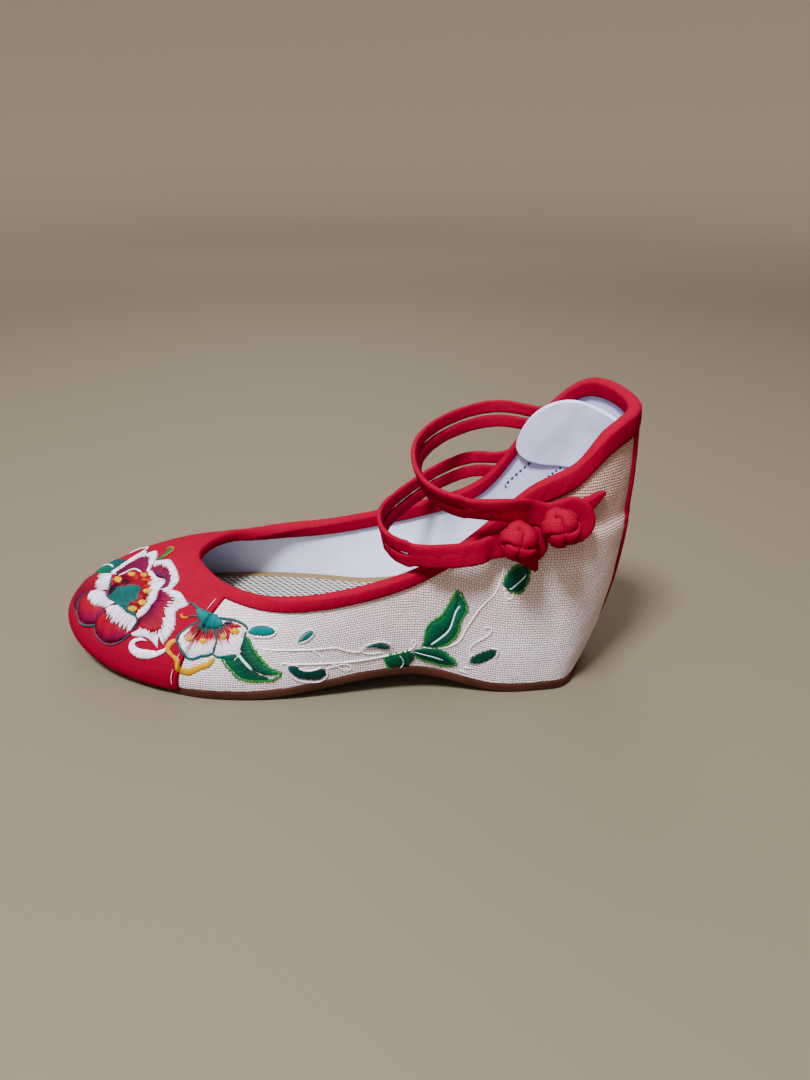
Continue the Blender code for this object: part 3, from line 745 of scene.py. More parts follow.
def foldDepth(points):  # each fold: a trough about a straight run, a Gaussian of its own width on each side
    total = np.zeros(points.shape[:-1])
    for first, last, above, below, deep, endShare in linenFolds.values():
        start, end = ribPoint(*pickOnWall([first, last]))
        along = end - start
        t = np.clip(((points - start) @ along) / (along @ along), 0, 1)
        away = points - start - t[..., None] * along
        wide = np.where(away[..., 2] > 0, above, below)
        fade = endShare + (1 - endShare) * np.sin(np.pi * np.clip(t, foldEnd, 1 - foldEnd))
        total = total + deep * fade * np.exp(-(np.linalg.norm(away, axis=-1) / wide) ** 2)
    return total


linenUpper = {"columnsPerRib": 16, "rows": 76, "topShare": 0, "rowPower": 0.9, "thick": 0.9, "ripple": 0.1,
              "waves": (9, 0.03, 0.12), "seed": 11, "belowBinding": (4, 14)}
liningWall = {"columnsPerRib": 12, "rows": 30, "topShare": 0.005, "rowPower": 1, "outer": -1,
              "inner": -1.8, "ripple": 0.12, "rippleLimits": (-0.4, 0.15), "waves": (9, 0.03, 0.15),
              "seed": 12, "deepest": 2, "belowBinding": (6, 16)}


def wallGrid(look):  # the whole wall: its bare points, its ripple, and 1 where it is clear of the binding
    places = ringPlaces(look["columnsPerRib"])
    shares = np.linspace(look["topShare"], 1, look["rows"]) ** look["rowPower"]
    drops = wallLength(places)[:, None] * shares[None, :]
    bare = wallPoints(places, drops, 0 * drops)[0]
    ripple = look["ripple"] * rippleNoise(bare[..., 0], bare[..., 2], look["seed"], *look["waves"])
    return places, drops, bare, ripple, easeStep(drops, *look["belowBinding"])


def addLinenUpper():  # the wall with its ripples and folds, which fade out under the binding
    places, drops, bare, ripple, clear = wallGrid(linenUpper)
    outer = (ripple - foldDepth(bare)) * clear
    sections = wallSections(places, drops, outer, outer - linenUpper["thick"])
    addSweep("linenUpper", sections, True, linenCloth, ("upper",), wallUv(places, drops, True))


def addLining():  # the same wall again inside the linen, with its troughs but not its ridges
    look = liningWall
    places, drops, bare, ripple, clear = wallGrid(look)
    trough = np.clip(foldDepth(bare), 0, look["deepest"]) * clear
    moved = np.clip(ripple * clear, *look["rippleLimits"]) - trough
    sections = wallSections(places, drops, moved + look["outer"], moved + look["inner"])
    addSweep("lining", sections, True, whiteLining, (), wallUv(places, drops, True))


addLinenUpper()
addLining()

collarBinding = {
    "front": 5.5, "heel": 8.6, "rise": (58, 105), "roll": 1.1, "outerFace": 1.55,
    "innerFace": -3.7, "shoulder": 0.5, "edgeGap": 0.5, "columnsPerRib": 26, "legFoot": 2, "legOut": 1.42,
    "legCrown": 0.12, "legShares": (0.12, 0.94, 9), "rollRows": 13,
    # hem of the outer leg: height above the leg's edge, and distance out from the linen
    "hem": ((0, 0.06), (-0.05, 0.6), (0.2, 1), (0.7, 1.25), (1.5, 1.4)),
    # inner leg and the hollow under the fold: drop below the collar, and distance out from the linen
    "inside": ((1.6, -3.68), (2.9, -3.62), (4.2, -3.55), (5.2, -3.42), (5.8, -3.15), (6, -2.8),
               (5.9, -2.4)),
    "hollow": ((4.5, -2), (2, -2), (0, -1.95), (-0.5, -1.75), (-0.5, -0.1), (0.2, 0.06), (2.5, 0.06),
               (4.6, 0.06)),
    # puckers and slanting pulls on the rows that show, stronger where the strip bends round the toe
    "faceFrom": (2, 6), "faceTo": (30, 33), "pucker": 0.07, "puckerLong": 0.35, "waves": (12, 0.06, 0.3),
    "seed": 31, "slant": 0.06, "slantStep": 5.3, "slantLean": 0.8, "slantDrift": 2.2, "driftLong": 17,
    "slack": 0.5, "tight": 1.2, "tightPlace": 0.2, "tightReach": 1.6,
}


def bindingLeg(places):  # outer width: narrow along the foot, wide round the heel
    topZ = ribPoint(places, np.ones(len(places)))[:, 2]
    grow = easeStep(topZ, *collarBinding["rise"])
    return collarBinding["front"] + (collarBinding["heel"] - collarBinding["front"]) * grow


def softEdge(distance, reach):  # thickness share near a turned edge: a quarter circle
    t = np.clip(distance / reach, 0, 1)
    return np.sqrt(np.clip(1 - (1 - t) ** 2, 0, 1))


def toeShare(places):  # 1 round the tip of the toe, falling to 0 past the ends of the cap
    return 1 - easeStep(np.abs(places), *shoeForm["toeFade"])


def leanedPoints(places, share, out):  # wall points at shares of the wall's length, each at its own place
    flat = places.ravel()
    drops = share.ravel() * wallLength(flat)
    return wallSpots(flat, drops, out.reshape(-1, 1))[0].reshape(places.shape + (3,))


heelStrip = {"middle": shoeForm["heelRib"], "half": 0.34, "thick": 0.8, "out": 0.3, "columns": 30, "rows": 90,
             "footGap": 0.4, "edge": 0.7, "tuck": 1.2, "turnUnder": 0, "lean": 0.3, "seed": 22}
panelCloth = {"endRoll": 0.5, "ridge": 0.12, "ridgeIn": 1.4, "ridgeWide": 0.9, "ripple": 0.05,
              "waves": (9, 0.05, 0.2), "lie": 0.08, "least": 0.05, "belowBinding": (4, 14),
              "leanOver": (0.3, 0.95), "turnOver": (0.75, 1), "crowding": 0.6, "rowCrowding": 0.5}


def addPanel(name, replaces, look):
    # a turned-edge panel on the wall, from under the binding's hem down to the sole, its edges rolled under
    soft, count = panelCloth, look["columns"]
    crowded = np.sin(np.linspace(-np.pi / 2, np.pi / 2, count))
    across = crowded * soft["crowding"] + np.linspace(-1, 1, count) * (1 - soft["crowding"])
    places = look["middle"] + look["half"] * across
    top = (bindingLeg(places) - look["tuck"])[:, None]
    bottom = (wallLength(places) - look["footGap"])[:, None]
    drops = top + (bottom - top) * easeIn(look["rows"], soft["rowCrowding"])
    run = ringRun(places)
    edge = np.minimum(run, run[-1] - run)[:, None]
    fill = softEdge(edge, look["edge"]) * softEdge(np.minimum(drops - top, bottom - drops), soft["endRoll"])
    ridge = soft["ridge"] * np.exp(-(((edge - soft["ridgeIn"]) / soft["ridgeWide"]) ** 2))
    bare = wallPoints(places, drops, 0 * drops)[0]
    ripple = rippleNoise(bare[..., 0], bare[..., 1] + bare[..., 2], look["seed"], *soft["waves"])
    inner = soft["lie"] - foldDepth(bare) * easeStep(drops, *soft["belowBinding"])
    thick = look["out"] + look["thick"] - soft["lie"] - soft["least"] + ridge + soft["ripple"] * ripple
    outer = inner + soft["least"] + thick * fill
    share = drops / bottom
    moved = places[:, None] + look["lean"] * easeStep(share, *soft["leanOver"])
    faces = [leanedPoints(moved, share, outer), leanedPoints(moved, share, inner)[:, ::-1]]
    sections = np.concatenate(faces, axis=1)
    under = look["turnUnder"] * toeShare(places)[:, None] * easeStep(share, *soft["turnOver"])
    sections[..., 2] -= np.concatenate([under, under[:, ::-1]], axis=1)
    addSweep(name, sections, False, redCotton, replaces, wallUv(places, drops, False))


addPanel("redToeCap", ("toe_cap",), toeCap)
addPanel("redHeelStrip", ("heel_strip",), heelStrip)


def addBinding(look):
    # a folded strip carried round the collar: outer leg, roll over the edge, inner leg, hollow under it
    places = ringPlaces(look["columnsPerRib"])
    leg = bindingLeg(places)[:, None]
    u = ringRun(np.append(places, ribCount))[:-1, None]
    hem, inside = np.array(look["hem"]), np.array(look["inside"] + look["hollow"])
    share = np.linspace(*look["legShares"])
    turn = np.linspace(0, np.pi, look["rollRows"])
    drop = [leg - look["edgeGap"] - hem[:, 0],
            (leg - look["legFoot"]) * (1 - share) + look["shoulder"] * share,
            look["shoulder"] - (look["shoulder"] + look["roll"]) * np.sin(turn) + 0 * u,
            inside[:, 0] + 0 * u]
    drop = np.concatenate(drop, axis=1)
    middle, half = (look["outerFace"] + look["innerFace"]) / 2, (look["outerFace"] - look["innerFace"]) / 2
    legOut = look["legOut"] + (look["outerFace"] - look["legOut"]) * share
    legOut = legOut + look["legCrown"] * np.sin(np.pi * share)
    out = np.concatenate([hem[:, 1], legOut, middle + half * np.cos(turn), inside[:, 1]]) + 0 * u
    shown = np.arange(drop.shape[1])
    face = easeStep(shown, *look["faceFrom"]) * (1 - easeStep(shown, *look["faceTo"]))
    pucker = look["pucker"] * rippleNoise(u, look["puckerLong"] * drop, look["seed"], *look["waves"])
    drift = look["slantDrift"] * np.sin(u / look["driftLong"])
    slant = look["slant"] * np.sin(2 * np.pi * (u + look["slantLean"] * drop) / look["slantStep"] + drift)
    bend = np.exp(-(fromToe(places - look["tightPlace"]) / look["tightReach"]) ** 2)[:, None]
    out = out + face * (pucker + slant * (look["slack"] + look["tight"] * bend))
    sections = wallPoints(places, drop, out)[0]
    addSweep("redBinding", sections, True, redCotton, ("collar_binding",))


addBinding(collarBinding)

footbed = {
    "x": np.array([15, 30, 50, 70, 90, 110, 150, 190, 232]),
    "z": np.array([51, 50, 44, 34, 24, 20, 18, 16, 14.5]),
    "fineX": (-30, 290), "smooth": 27, "inset": 2, "dish": 0.8, "dishWide": 40, "stations": 150,
    "across": 42, "rollIn": 1.2, "rollReach": 1.6, "sideShares": (0.02, 0.8, 1), "underDrop": 0.4,
}


def footbedHeight(x):  # the table of heights, rounded by a running mean
    fine = np.arange(*footbed["fineX"])
    z = np.interp(fine, footbed["x"], footbed["z"])
    window = np.hanning(footbed["smooth"])
    return np.interp(x, fine, np.convolve(z, window / window.sum(), mode="same"))


def halfPlaces(count):  # places from toe to heel along one side, closer together at both ends
    gap = shoeForm["endGap"]
    return gap + (halfRibs - 2 * gap) * easeIn(count, shoeForm["endCrowding"])


def insetEdge(places, share):  # a point inside the wall, a share of the way up from the sole to the footbed
    foot = ribPoint(places, np.zeros(len(places)))
    level = foot[:, 2] + share * (footbedHeight(foot[:, 0]) - foot[:, 2])
    climb = climbAtHeight(places, level[:, None])[:, 0]
    aside = ribNormal(places, climb)[:, :2]
    flat = ribPoint(places, climb)[:, :2] - footbed["inset"] * aside / (aside ** 2).sum(-1, keepdims=True)
    return np.concatenate([flat, level[:, None]], axis=1)[:, None]


def addFootbed(look):
    # a profile across the shoe at each station: side, dished top, side and a flat underside
    places = halfPlaces(look["stations"])
    outerLow, outerMid, outerTop = (insetEdge(places, share) for share in look["sideShares"])
    innerLow, innerMid, innerTop = (insetEdge(ribCount - places, share) for share in look["sideShares"])
    t = easeIn(look["across"])[None, :, None]
    top = outerTop * (1 - t) + innerTop * t
    wide = np.linalg.norm(innerTop - outerTop, axis=-1)
    toToe, toHeel = (np.linalg.norm((outerTop - outerTop[end])[..., :2], axis=-1) for end in (0, -1))
    edge = np.minimum(np.minimum(t, 1 - t)[..., 0] * wide, np.minimum(toToe, toHeel))
    sink = look["dish"] * (1 - (2 * t[..., 0] - 1) ** 2) * np.clip(wide / look["dishWide"], 0, 1)
    ease = np.minimum(look["rollIn"], wide / 4)
    top[..., 2] -= sink + ease * (1 - softEdge(edge, look["rollReach"]))
    upper = np.concatenate([outerLow, outerMid, top, innerMid, innerLow], axis=1)
    back = np.linspace(0, 1, upper.shape[1])[None, :, None]
    lower = innerLow * (1 - back) + outerLow * back
    lower[..., 2] -= look["underDrop"]
    sections = np.concatenate([upper, lower], axis=1)
    faces = sweepFaces(*sections.shape[:2], False)[2]
    flat = sections.reshape(-1, 3)
    inward = np.zeros(sections.shape[:2] + (2,))
    inward[:, 2:2 + look["across"], 1] = edge
    addMesh("wovenFootbed", flat, faces, flat[faces][..., :2], footbedCloth, ("insole",),
            edgeUv=inward.reshape(-1, 2)[faces])


addFootbed(footbed)

rubberSole = {
    "proud": 0.6, "topIn": 0.35, "toeIn": 3.4, "bevel": 1, "stations": 460, "across": 34, "crowding": 0.5,
    "sharp": 50, "groove": 0.45, "grooveEdge": (0.1, 0.6), "pitch": 3.4, "zigzag": 9, "zigzagLean": 0.9,
    "border": 4, "borderFade": 0.8, "waistX": ((52, 60), (128, 140)), "treadX": ((20, 22), (226, 229)),
    # side of the sole: out past its widest line, and down from the top or up from the underside
    "shoulderRows": ((-0.08, 0.12), (0, 0.5)), "bevelRows": ((0, 1.2), (-0.25, 0.45)),
}


def addSole(look):
    # a profile across the shoe at each station; underneath a shallow zigzag tread inside a plain border
    thick = shoeForm["soleThick"]
    places = halfPlaces(look["stations"])
    outer, inner = places, ribCount - places
    drawIn = look["toeIn"] * toeShare(places)

    def edgeLine(side, out, lift):  # one edge of the sole, out past the wall's foot and up from the ground
        foot = ribPoint(side, np.zeros(len(side)))
        aside = levelOut(splineThrough(shoeForm["ribs"], side, True)[1][:, 0:2])
        line = foot + (look["proud"] + out - drawIn)[:, None] * aside
        line[:, 2] = soleUnder(foot[:, 0]) + lift
        return line[:, None]

    def stretch(x, start, end):  # 1 between two stretches of the length, with soft ends
        return easeStep(x, *start) * (1 - easeStep(x, *end))

    t = np.linspace(0, 1, look["across"])[None, :, None]
    top = edgeLine(outer, -look["topIn"], thick) * (1 - t) + edgeLine(inner, -look["topIn"], thick) * t
    lowOuter, lowInner = (edgeLine(side, -look["bevel"], 0.0) for side in (outer, inner))
    t = easeIn(look["across"], look["crowding"])[None, :, None]
    low = lowInner * (1 - t) + lowOuter * t
    edge = np.minimum(t, 1 - t)[..., 0] * np.linalg.norm(lowInner - lowOuter, axis=-1)
    fold = np.abs((low[..., 1] / look["zigzag"]) % 1 - 0.5) * 2
    wave = np.sin(2 * np.pi * (low[..., 0] / look["pitch"] + look["zigzagLean"] * fold))
    inside = easeStep(edge, look["border"], look["border"] + look["borderFade"])
    tread = easeStep(wave, *look["grooveEdge"]) * inside
    tread = tread * stretch(low[..., 0], *look["treadX"]) * (1 - stretch(low[..., 0], *look["waistX"]))
    low[..., 2] += look["groove"] * tread
    sideRows = [(out, thick - down) for out, down in look["shoulderRows"]] + list(look["bevelRows"])
    parts = [top] + [edgeLine(inner, *row) for row in sideRows] + [low]
    parts += [edgeLine(outer, *row) for row in reversed(sideRows)]
    addSweep("rubberSole", np.concatenate(parts, axis=1), False, brownRubber, ("outsole",),
             sharpAngle=look["sharp"])


addSole(rubberSole)

heelPad = {
    "reach": 3.13, "topBack": 103.6, "top": 109.6, "end": 88, "bottom": 79.2, "dropOuter": 1.5,
    "columns": 120, "rows": 44, "thick": 1.2, "least": 0.15, "edge": 0.8, "overBinding": 1.95,
    "onLining": 2, "crowding": 0.65, "crestFade": (-0.1, 0.5), "topBend": 0.5, "lowBend": 0.7,
    "mostBend": 0.995, "topRound": 0.66, "bindingFoot": 5.5, "slopeFoot": (34, 9.5), "ripple": 0.12,
    "waves": (9, 0.03, 0.1), "seed": 41, "endEdge": 0.05,
}


def addHeelPad(look):
    # a soft leaf on the lining, level below and round at its ends, swelling from its edge as a quarter circle
    even = np.linspace(-1, 1, look["columns"])
    share = (1 - look["crowding"]) * even + look["crowding"] * np.sin(even * np.pi / 2)
    places = shoeForm["heelRib"] + look["reach"] * share
    forward = np.abs(share)
    collarZ = ribPoint(places, np.ones(len(places)))[:, 2]
    crest = look["topBack"] + (look["top"] - look["topBack"]) * easeStep(forward, *look["crestFade"])
    topBend, lowBend = (np.clip((forward - look[key]) / (1 - look[key]), 0, look["mostBend"])
                        for key in ("topBend", "lowBend"))
    top = collarZ - look["end"] - (crest - look["end"]) * (1 - topBend ** 2) ** look["topRound"]
    bottom = collarZ - look["end"] + (look["end"] - look["bottom"]) * np.sqrt(1 - lowBend ** 2)
    top = np.where(share > 0, top, np.minimum(np.maximum(top, look["dropOuter"]), bottom - 1))
    half = (bottom - top)[:, None] / 2
    rows = np.sin(np.linspace(-np.pi / 2, np.pi / 2, look["rows"]))
    drops = ((top + bottom) / 2)[:, None] + half * rows
    run = ringRun(places)
    edge = np.minimum(half * (1 - np.abs(rows)), np.minimum(run, run[-1] - run)[:, None] + look["endEdge"])
    slopeFoot = np.where(share > 0, *look["slopeFoot"])[:, None]
    back = -look["onLining"] - look["overBinding"] * (1 - easeStep(drops, look["bindingFoot"], slopeFoot))
    soft = rippleNoise(run[:, None], drops, look["seed"], *look["waves"])
    swell = look["thick"] - look["least"] + look["ripple"] * soft
    face = back - look["least"] - swell * softEdge(edge, look["edge"])
    sections = wallSections(places, drops, back, face)
    pad = addSweep("heelGripPad", sections, False, padSuede, ("heel_pad",),
                   wallUv(places, drops, False))


addHeelPad(heelPad)

ankleStraps = {
    "cordWide": 5.2, "cordThick": 2.2, "slit": 0.9, "slitSewn": -2.2, "sewnWide": 0.22, "sewnFade": 1,
    "eyePinch": -0.05, "loopOut": 4, "sewnOut": 3.5, "eyeLead": 8, "cuts": 22, "sides": 20,
    "square": 0.62, "turnSteps": 21, "turnEnd": 86, "joinStep": 0.16, "stepFade": 0.4, "slitFade": 1.5,
    "seam": 0.3, "seamWide": 0.5, "wobbleWide": 0.02, "wobbleThick": 0.05, "wobbleWaves": (10, 0.04, 0.22),
    "ripple": 0.09, "rippleWaves": (14, 0.05, 0.35), "rippleAcross": 5,
    "rippleFaces": 3, "crease": 0.16, "creaseWide": 0.16, "creaseDrift": 0.25, "creaseLong": 23,
    # spots are rib and drop; free: rows of x y z and lean; rise and firstTurn: of the knot's ball;
    # past and lift: where the eye ends; join: length from the eye back to the seam
    "rear": {
        "sewn": (13.8, 12.5), "crossing": (14.58, 2), "knot": (9.5, 14.2), "tail": (10.87, 21.2),
        "rise": 0, "firstTurn": 0.5, "past": 5.4, "lift": 1.2, "join": 40.5, "eyeHalf": 3.2,
        "eyeReach": 11, "seed": 51,
        "free": ((48, -36, 98.1, 8), (62, -33, 97.2, 6), (74.5, -22.5, 95, 6), (82, -8, 93.2, 8),
                 (84, 4, 90.9, 14), (82, 17, 88.4, 22), (75, 31, 86.6, 26), (62, 39, 86, 24),
                 (49, 39.8, 86.2, 12)),
    },
    "front": {
        "sewn": (15.05, 11), "crossing": (15.62, 1.5), "knot": (8.68, 15.2), "tail": (9.22, 34),
        "rise": 4.5, "firstTurn": 0.1, "past": 3.2, "lift": -0.5, "join": 43.5, "eyeHalf": 2.2,
        "eyeReach": 8, "seed": 61,
        "free": ((62, -35.5, 75, 6), (75.5, -30, 71.4, 4), (86, -19, 68.4, 4), (93.5, -4, 67.3, 8),
                 (97, 11, 67.2, 12), (94.5, 24, 65.5, 12), (86, 35, 65.8, 8), (73, 39.8, 67.3, 0),
                 (60, 39, 68.8, -8)),
    },
}


def wallSpot(spot, out):  # one spot of the wall, given as rib and drop, and the normal there
    point, normal = wallSpots([spot[0]], [spot[1]], out)
    return point[0], normal[0]


def strapFrame(strap):
    # middle line through the sewn end, the free rows and the eye, with its width and outward directions
    look = ankleStraps
    ends, normals = wallSpots(*zip(strap["sewn"], strap["crossing"]), look["sewnOut"])
    lean = -np.degrees(np.arcsin(normals[:, 2:]))
    free = np.array(strap["free"], float)
    neck, normal = wallSpot(strap["knot"], look["loopOut"])
    run = neck - free[-1, :3]
    run = unitRows(run - (run @ normal) * normal)
    tilt = -np.degrees(np.arcsin(normal[2]))
    before, past = neck - look["eyeLead"] * run, neck + strap["past"] * run + strap["lift"] * upward
    rows = np.concatenate([np.concatenate([ends, lean], axis=1), free, [[*before, tilt], [*past, tilt]]])
    last = len(rows) - 1
    value, slope = splineThrough(rows, np.linspace(0, last, look["cuts"] * last + 1), False)
    along = unitRows(slope[:, :3])
    angle = np.radians(value[:, 3:])
    aim = np.cos(angle) * levelOut(slope[:, :2]) - np.sin(angle) * upward
    across = unitRows(np.cross(aim, along))
    return value[:, :3], along, across, np.cross(along, across)


def bandProfile(sides, square):  # superellipse of half size one
    turn = ringTurn(sides, np.pi / sides)
    return [np.sign(wave) * np.abs(wave) ** square for wave in (np.cos(turn), np.sin(turn))]


def ovalSections(line, wide, proud, across, out):  # profiles on a line, across along wide, out along proud
    return line[..., None, :] + across[..., None] * wide[..., None, :] + out[..., None] * proud[..., None, :]


def addStrap(name):
    # one flat cord folded double: out to the eye, half a turn round the neck, and back beside itself
    look, strap = ankleStraps, ankleStraps[name]
    middle, along, across, out = strapFrame(strap)
    nearEye = 1 - easeStep(np.linalg.norm(middle - middle[-1], axis=1), 0, strap["eyeReach"])
    run = runAlong(middle)
    pinch = look["eyePinch"] * nearEye
    loose = easeStep(run[-1] - run, strap["join"] - look["slitFade"], strap["join"] + look["slitFade"])
    slit = look["slitSewn"] + (look["slit"] - look["slitSewn"]) * loose
    half = slit / 2 * (1 - nearEye) + strap["eyeHalf"] * nearEye + look["cordWide"] / 2 * (1 - pinch)
    turn = np.radians(np.linspace(look["turnEnd"], -look["turnEnd"], look["turnSteps"]))
    spoke = np.sin(turn)[:, None] * across[-1] + np.cos(turn)[:, None] * along[-1]
    aside = half[:, None] * across
    centre = np.concatenate([middle + aside, middle[-1] + half[-1] * spoke, (middle - aside)[::-1]])
    wide = np.concatenate([across, spoke, -across[::-1]])
    proud = np.concatenate([out, np.repeat(out[-1:], len(turn), axis=0), out[::-1]])
    squeeze = np.concatenate([pinch, np.full(len(turn), pinch[-1]), pinch[::-1]])
    there = np.concatenate([run, run[-1] + 0 * turn, run[::-1]])
    fromSeam = run[-1] - there - strap["join"]
    step = look["joinStep"] * (1 - easeStep(fromSeam, -look["stepFade"], look["stepFade"]))
    swell = 1 + step - look["seam"] * np.exp(-((fromSeam / look["seamWide"]) ** 2))
    sewn = 1 - easeStep(fromSeam, -look["sewnFade"], look["sewnFade"])
    length = runAlong(centre)
    wobble = rippleNoise(length, 0 * length, strap["seed"], *look["wobbleWaves"])
    halfWide = look["cordWide"] / 2 * (1 - squeeze) * (1 + look["wobbleWide"] * wobble)
    halfWide = halfWide * (1 + look["sewnWide"] * sewn)
    halfThick = look["cordThick"] / 2 * (1 + 0.5 * squeeze) * (1 + look["wobbleThick"] * wobble) * swell
    a, b = bandProfile(look["sides"], look["square"])
    length = length[:, None]
    rippleAt = look["rippleAcross"] * a + look["rippleFaces"] * np.sign(b)
    ripple = look["ripple"] * rippleNoise(length, rippleAt, strap["seed"] + 1, *look["rippleWaves"])
    fromCrease = a - look["creaseDrift"] * np.sin(length / look["creaseLong"])
    crease = look["crease"] * np.exp(-((fromCrease / look["creaseWide"]) ** 2)) * (np.abs(b) > 0.5)
    depth = halfThick[:, None] + ripple - crease
    sections = ovalSections(centre, wide, proud, halfWide[:, None] * a, depth * b)
    addSweep("redStrap" + name.capitalize(), sections, False, redCotton, ("strap_" + name,))


addStrap("rear")
addStrap("front")

knotButton = {
    "ballRadius": 7.3, "flat": 0.88, "ballOut": 11.9, "leads": 3, "bights": 4, "reach": 64,
    "strandWide": 2.75, "strandThick": 1.75, "strandSquare": 0.8, "weaveDepth": 0.75, "weaveSink": 0.6,
    "strandCuts": 300, "strandSides": 14, "puff": 0.06, "puffs": 23, "core": 0.8, "coreRows": 15,
    "coreSides": 20, "pole": 0.02, "neck": 2.1, "neckFlare": 0.25, "neckRows": (0.3, 1, 9),
    "tailHalf": (1.84, 2.3, 2.8, 3.2, 3.1, 2.3, 0.8), "tailFull": 2.3, "tailEdge": 0.35, "tailThick": 1.7,
    "tailRound": 0.7, "tailRows": 40, "tailSides": 11, "tailLie": 0.15, "tailSplit": 0.22, "splitWide": 0.22,
}


def knotStrand(look, centre, side, other, normal, firstTurn):
    # a cord wound three times round the ball with four bights, over and under by turns
    t = ringTurn(look["strandCuts"])
    lon = look["leads"] * t + firstTurn
    lat = np.radians(look["reach"]) * np.cos(look["bights"] * t)
    weave = look["weaveDepth"] * (np.sin(2 * look["bights"] * t) - look["weaveSink"])
    radius = look["ballRadius"] - look["strandThick"] + weave
    ray = ((np.cos(lat) * np.cos(lon))[:, None] * side + (np.cos(lat) * np.sin(lon))[:, None] * other
           + (look["flat"] * np.sin(lat))[:, None] * normal)
    line = centre + radius[:, None] * ray
    along = unitRows(np.roll(line, -1, axis=0) - np.roll(line, 1, axis=0))
    proud = unitRows(ray - (ray * along).sum(-1, keepdims=True) * along)
    a, b = bandProfile(look["strandSides"], look["strandSquare"])
    puff = (1 + look["puff"] * np.sin(look["puffs"] * t + 1.0))[:, None]
    across, out = look["strandWide"] * puff * a, look["strandThick"] * puff * b
    return ovalSections(line, np.cross(along, proud), proud, across, out)


def knotTail(look, start, tip):  # the cord's sewn end: a low arch on the wall with a slit down its middle
    share, bed, normal = wallRun(start, tip, look["tailRows"], look["tailLie"])
    aside = unitRows(np.cross(normal, unitRows(np.gradient(bed, axis=0))))
    half = np.interp(share, np.linspace(0, 1, len(look["tailHalf"])), look["tailHalf"])[:, None]
    turn = np.linspace(0, np.pi, look["tailSides"])
    split = 1 - look["tailSplit"] * np.exp(-((np.cos(turn) / look["splitWide"]) ** 2))
    crown = look["tailThick"] * np.sin(turn) ** look["tailRound"] * split
    high = crown * (look["tailEdge"] + (1 - look["tailEdge"]) * half / look["tailFull"])
    arch = ovalSections(bed, aside, normal, half * np.cos(turn), high)
    flatBack = ovalSections(bed, aside, normal, -half * np.cos(turn), 0 * high)
    return np.concatenate([arch, flatBack[:, 1:-1]], axis=1)


def addKnot(name):  # a knot button: the wound ball over a round core, its neck, and its tail
    look, strap = knotButton, ankleStraps[name]
    foot, normal = wallSpot(strap["knot"], 0.0)
    side = unitRows(np.cross(normal, upward))
    other = np.cross(normal, side)
    centre = foot + look["ballOut"] * normal + strap["rise"] * upward
    strand = knotStrand(look, centre, side, other, normal, strap["firstTurn"])
    around = ringTurn(look["coreSides"])
    ring = np.cos(around)[None, :, None] * side + np.sin(around)[None, :, None] * other
    polar = np.linspace(look["pole"], np.pi - look["pole"], look["coreRows"])[:, None, None]
    coreRadius = look["core"] * (look["ballRadius"] - look["strandThick"])
    core = centre + coreRadius * (np.sin(polar) * ring + np.cos(polar) * normal * look["flat"])
    climb = np.linspace(*look["neckRows"])[:, None, None]
    flare = look["neck"] * (1 + look["neckFlare"] * np.cos(np.pi * climb * 2.0))
    neck = foot * (1 - climb) + centre * climb + flare * ring
    tail = knotTail(look, strap["knot"], strap["tail"])
    parts = [sweptPart(strand, True)] + [sweptPart(part, False) for part in (core, neck, tail)]
    points, faces, uv = joinParts(parts)
    addMesh("redKnot" + name.capitalize(), points, faces, uv, redCotton, ("knot_" + name,))


addKnot("rear")
addKnot("front")

# dark stitches on the lining, in rows from one spot (rib, drop) to another; turn: a last stitch aside
liningStitches = {
    "rows": ({"from": (14.66, 18.4), "to": (15.38, 14), "turn": ((-0.05, 2.6),)},
             {"from": (13.72, 34.2), "to": (14.38, 33.25), "turn": ()}),
    "count": 6, "lie": -1.95, "fill": 0.62, "halfWide": 0.42, "halfHigh": 0.24, "cuts": 9, "sides": 8,
    "rise": 0.22, "sink": 0.1, "tip": 0.35, "tone": 0.06,
}


def stitchBead(start, end):  # a short bead of thread that dips into the lining at both ends
    look = liningStitches
    share, line, normal = wallRun(start, end, look["cuts"], look["lie"])
    line = line - normal * (look["rise"] * np.sin(np.pi * share) - look["sink"])[:, None]
    wide = unitRows(np.cross(normal, unitRows(np.gradient(line, axis=0))))
    turn = ringTurn(look["sides"])
    size = (look["tip"] + (1 - look["tip"]) * np.sin(np.pi * share) ** 0.5)[:, None]
    across, out = look["halfWide"] * size * np.cos(turn), look["halfHigh"] * size * np.sin(turn)
    return sweptPart(ovalSections(line, wide, normal, across, out), False)


def addLiningStitches():
    look = liningStitches
    parts = []
    for row in look["rows"]:
        start, end = np.array(row["from"]), np.array(row["to"])
        step = (end - start) / look["count"]
        starts = [start + step * number for number in range(look["count"])]
        parts += [stitchBead(spot, spot + step * look["fill"]) for spot in starts]
        parts += [stitchBead(end, end + np.array(turn)) for turn in row["turn"]]
    points, faces, uv = joinParts(parts)
    colours = np.full((len(points), 3), look["tone"])
    addMesh("liningStitches", points, faces, uv, silkThread, (), colours)


addLiningStitches()
print("shoe made, embroidery next")

